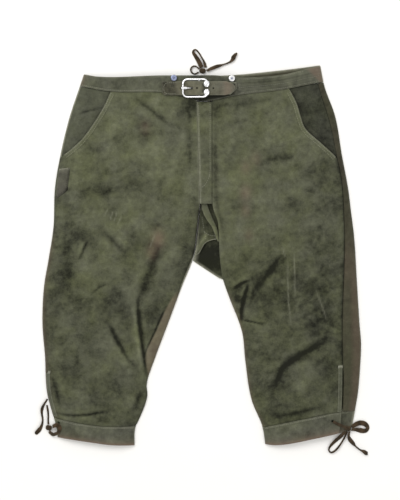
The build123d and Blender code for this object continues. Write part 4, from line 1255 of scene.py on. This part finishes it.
def knot(name, spot, body, stub=()):
    """Tied knot: flat lace wound over its core four ways, with a stub of lace if it shows."""
    vertices, faces, tones = [], [], []

    def take(rings, closed):
        count = len(rings[0])
        faces.extend(tube_faces(len(rings), count, sum(map(len, vertices)), closed))
        vertices.extend(rings)
        tones.extend(0.2 * math.sin(r * 0.5) for r in range(len(rings)) for _ in range(count))

    for turn, lean, size in ((0.5, 0.25, 0.8), (2.1, -0.3, 0.86), (1.3, 0.1, 0.72),
                             (2.7, 0.45, 0.78)):
        axis_a = np.array([math.cos(turn), math.sin(turn), lean * 0.4])
        axis_b = np.array([-lean * math.sin(turn), lean * math.cos(turn), 1.0])
        rings = []
        for angle in np.linspace(0, 2 * math.pi, 29)[:-1]:
            out = math.cos(angle) * axis_a + math.sin(angle) * axis_b
            run = -math.sin(angle) * axis_a + math.cos(angle) * axis_b
            place = spot + size * KNOT_SIZE * out
            wide = np.cross(run, out)
            wide /= np.linalg.norm(wide)
            ring = np.array([place + 0.42 * LACE_W * a * wide + 0.9 * b * out
                             for a, b in KNOT_SECTION])
            ring[:, 2] = np.maximum(ring[:, 2], 0.15 + 0.1 * size)
            rings.append(ring)
        take(rings, True)
    if stub:
        path = smooth_route(stub)
        take(ribbon_rings(path, np.full(len(path), 7.5)), False)
    piece = make_object(name + "_leather", np.concatenate(vertices), faces, LACE,
                        {"tone": tones, "wear": np.full(len(tones), 0.15)})
    own(piece, body, "lace_leather", name)


# --- zip, back lacing, metal
def tape(side):
    """Cloth that carries one side of the zip."""
    x0, x1 = (-10.0, 4.9) if side == "right" else (7.1, 20.6)
    x, y = grid(level(x0), level(x1), level(ZIP_BOTTOM_Y), level(ZIP_TOP_Y), 2.4)
    z = crown_line(y) - 5.0 + 0.12 * fractal(x, y, 9, 2, 4.0)
    piece = shell(f"{side}_zip_cloth", x, y, z, CLOTH, TAPE)
    own(piece, "seat", "zip_fabric", f"{side}_zip_tape")


def shield():
    """Leather underlay behind the zip."""
    x, y = grid(level(-22), level(30), level(112), level(308), 3.0)
    z = crown_line(y) - 8.0 + 0.3 * fractal(x, y, 30, 3, 2.0)
    tone = 0.15 * fractal(x, y, 30, 4, 1.0)
    piece = shell("fly_underlay", x, y, z, LINING, FACING, tone)
    own(piece, "seat", "facing_suede", "fly_shield")


def back_closure():
    """Leather behind the notch at the centre back, and the lace across it."""
    x, y = grid(level(CENTRE_X - 38), level(CENTRE_X + 38), level(316), level(356), 3.0)
    z = 7.4 + 0.2 * fractal(x, y, 14, 3, 1.0)
    tone = 0.1 * fractal(x, y, 20, 4, 5.0)
    piece = shell("back_gusset_leather", x, y, z, LINING, FACING, tone)
    own(piece, "seat", "facing_suede", "back_gusset")
    for number, y, sag in ((1, 326.0, -1), (2, 350.0, 1)):
        arc = y + sag * np.sin(np.linspace(0, math.pi, 26))
        path = np.column_stack([np.linspace(-27, 23, 26), arc, np.full(26, 1.7)])
        own(ribbon(f"back_lace_{number}", path, np.full(26, LACE_W)), "seat", "lace_leather",
            *(["back_lacing"] if number == 1 else []))


def back_stitches():
    """A row of stitches on each side of the centre back seam."""
    y = np.arange(110, 318, 2.0)
    routes = [np.column_stack([np.full(len(y), CENTRE_X + dx), y, np.full(len(y), 0.25)])
              for dx in (-4, 4)]
    stitch("back_seam_thread", routes, "seat")


def metals():
    """Finishes of the CAD parts that show as they are."""
    finishes = {"buckle_frame": NICKEL, "buckle_prong": NICKEL, "left_button_cap": NICKEL,
                "right_button_cap": WORN_NICKEL, "button_tacks": WORN_NICKEL,
                "back_eyelets": WORN_NICKEL, "zip_slider": BRASS, "zip_pull": BRASS,
                "zip_stops": BRASS, "right_zip_teeth": BRASS, "left_zip_teeth": BRASS}
    for piece in bpy.data.objects:
        for node, material in finishes.items():
            if piece.type == "MESH" and piece.name.startswith(node):
                for holder in piece.material_slots:
                    holder.material = material


# --- build
for side in SIDES:
    for make in (front_panel, back_panel, front_band, back_band):
        make(side)
    for layer in ("front", "back"):
        knee_band(side, layer)
    for make in (pocket_facing, pocket_binding, pocket_bag, placket, tape):
        make(side)
for make in (side_wrap, fly_flap, fly_tail, gusset, knife_pouch, strap, chape, shield,
             back_closure, back_stitches, seams):
    make()
knot("waist_knot", WAIST_KNOT, "seat")
knot("right_knee_knot", KNEE_KNOTS[0], "right_leg")
knot("left_knee_knot", KNEE_KNOTS[1], "left_leg", stub=KNEE_STUB)
for name in LACES:
    lace(name)
metals()


# --- floor, light, camera
def stage():
    """Pale floor just under the object, even studio light and two soft lamps."""
    half, floor_z = 3.0, -0.0003
    mesh = bpy.data.meshes.new("floor")
    mesh.from_pydata([(x, y, floor_z) for x, y in rectangle(-half, half, -half, half)], [],
                     [(0, 1, 2, 3)])
    material, shader = new_material("floor", 0.7)
    colour = mix_colour(material, noise_node(material, 3, 3), (0.80, 0.79, 0.77),
                        (0.86, 0.85, 0.83))
    link(material, colour, shader.inputs["Base Color"])
    mesh.materials.append(material)
    put("floor", mesh)
    world = bpy.data.worlds.new("studio")
    world.use_nodes = True
    background = world.node_tree.nodes["Background"]
    background.inputs["Color"].default_value = (1, 0.995, 0.98, 1)
    background.inputs["Strength"].default_value = 0.85
    bpy.context.scene.world = world
    for name, place, size, power in (("key", (-0.9, 1.1, 1.9), 1.3, 26),
                                     ("fill", (1.1, -0.6, 2.2), 2.0, 12)):
        lamp = bpy.data.lights.new(name, "AREA")
        lamp.energy = power
        lamp.size = size
        light = put(name, lamp)
        light.location = place
        light.rotation_euler = (-Vector(place)).to_track_quat("-Z", "Y").to_euler()
    bpy.context.scene.view_settings.view_transform = "Standard"


def camera():
    """Straight down from a good height, framed on a little more than the garment."""
    height, seen = 4.0, 1.0
    data = bpy.data.cameras.new("camera")
    data.sensor_fit = "VERTICAL"
    data.sensor_height = 36
    data.lens = data.sensor_height * height / seen
    eye = put("camera", data)
    eye.location = (-0.003, 0.014, height)
    bpy.context.scene.camera = eye


stage()
camera()
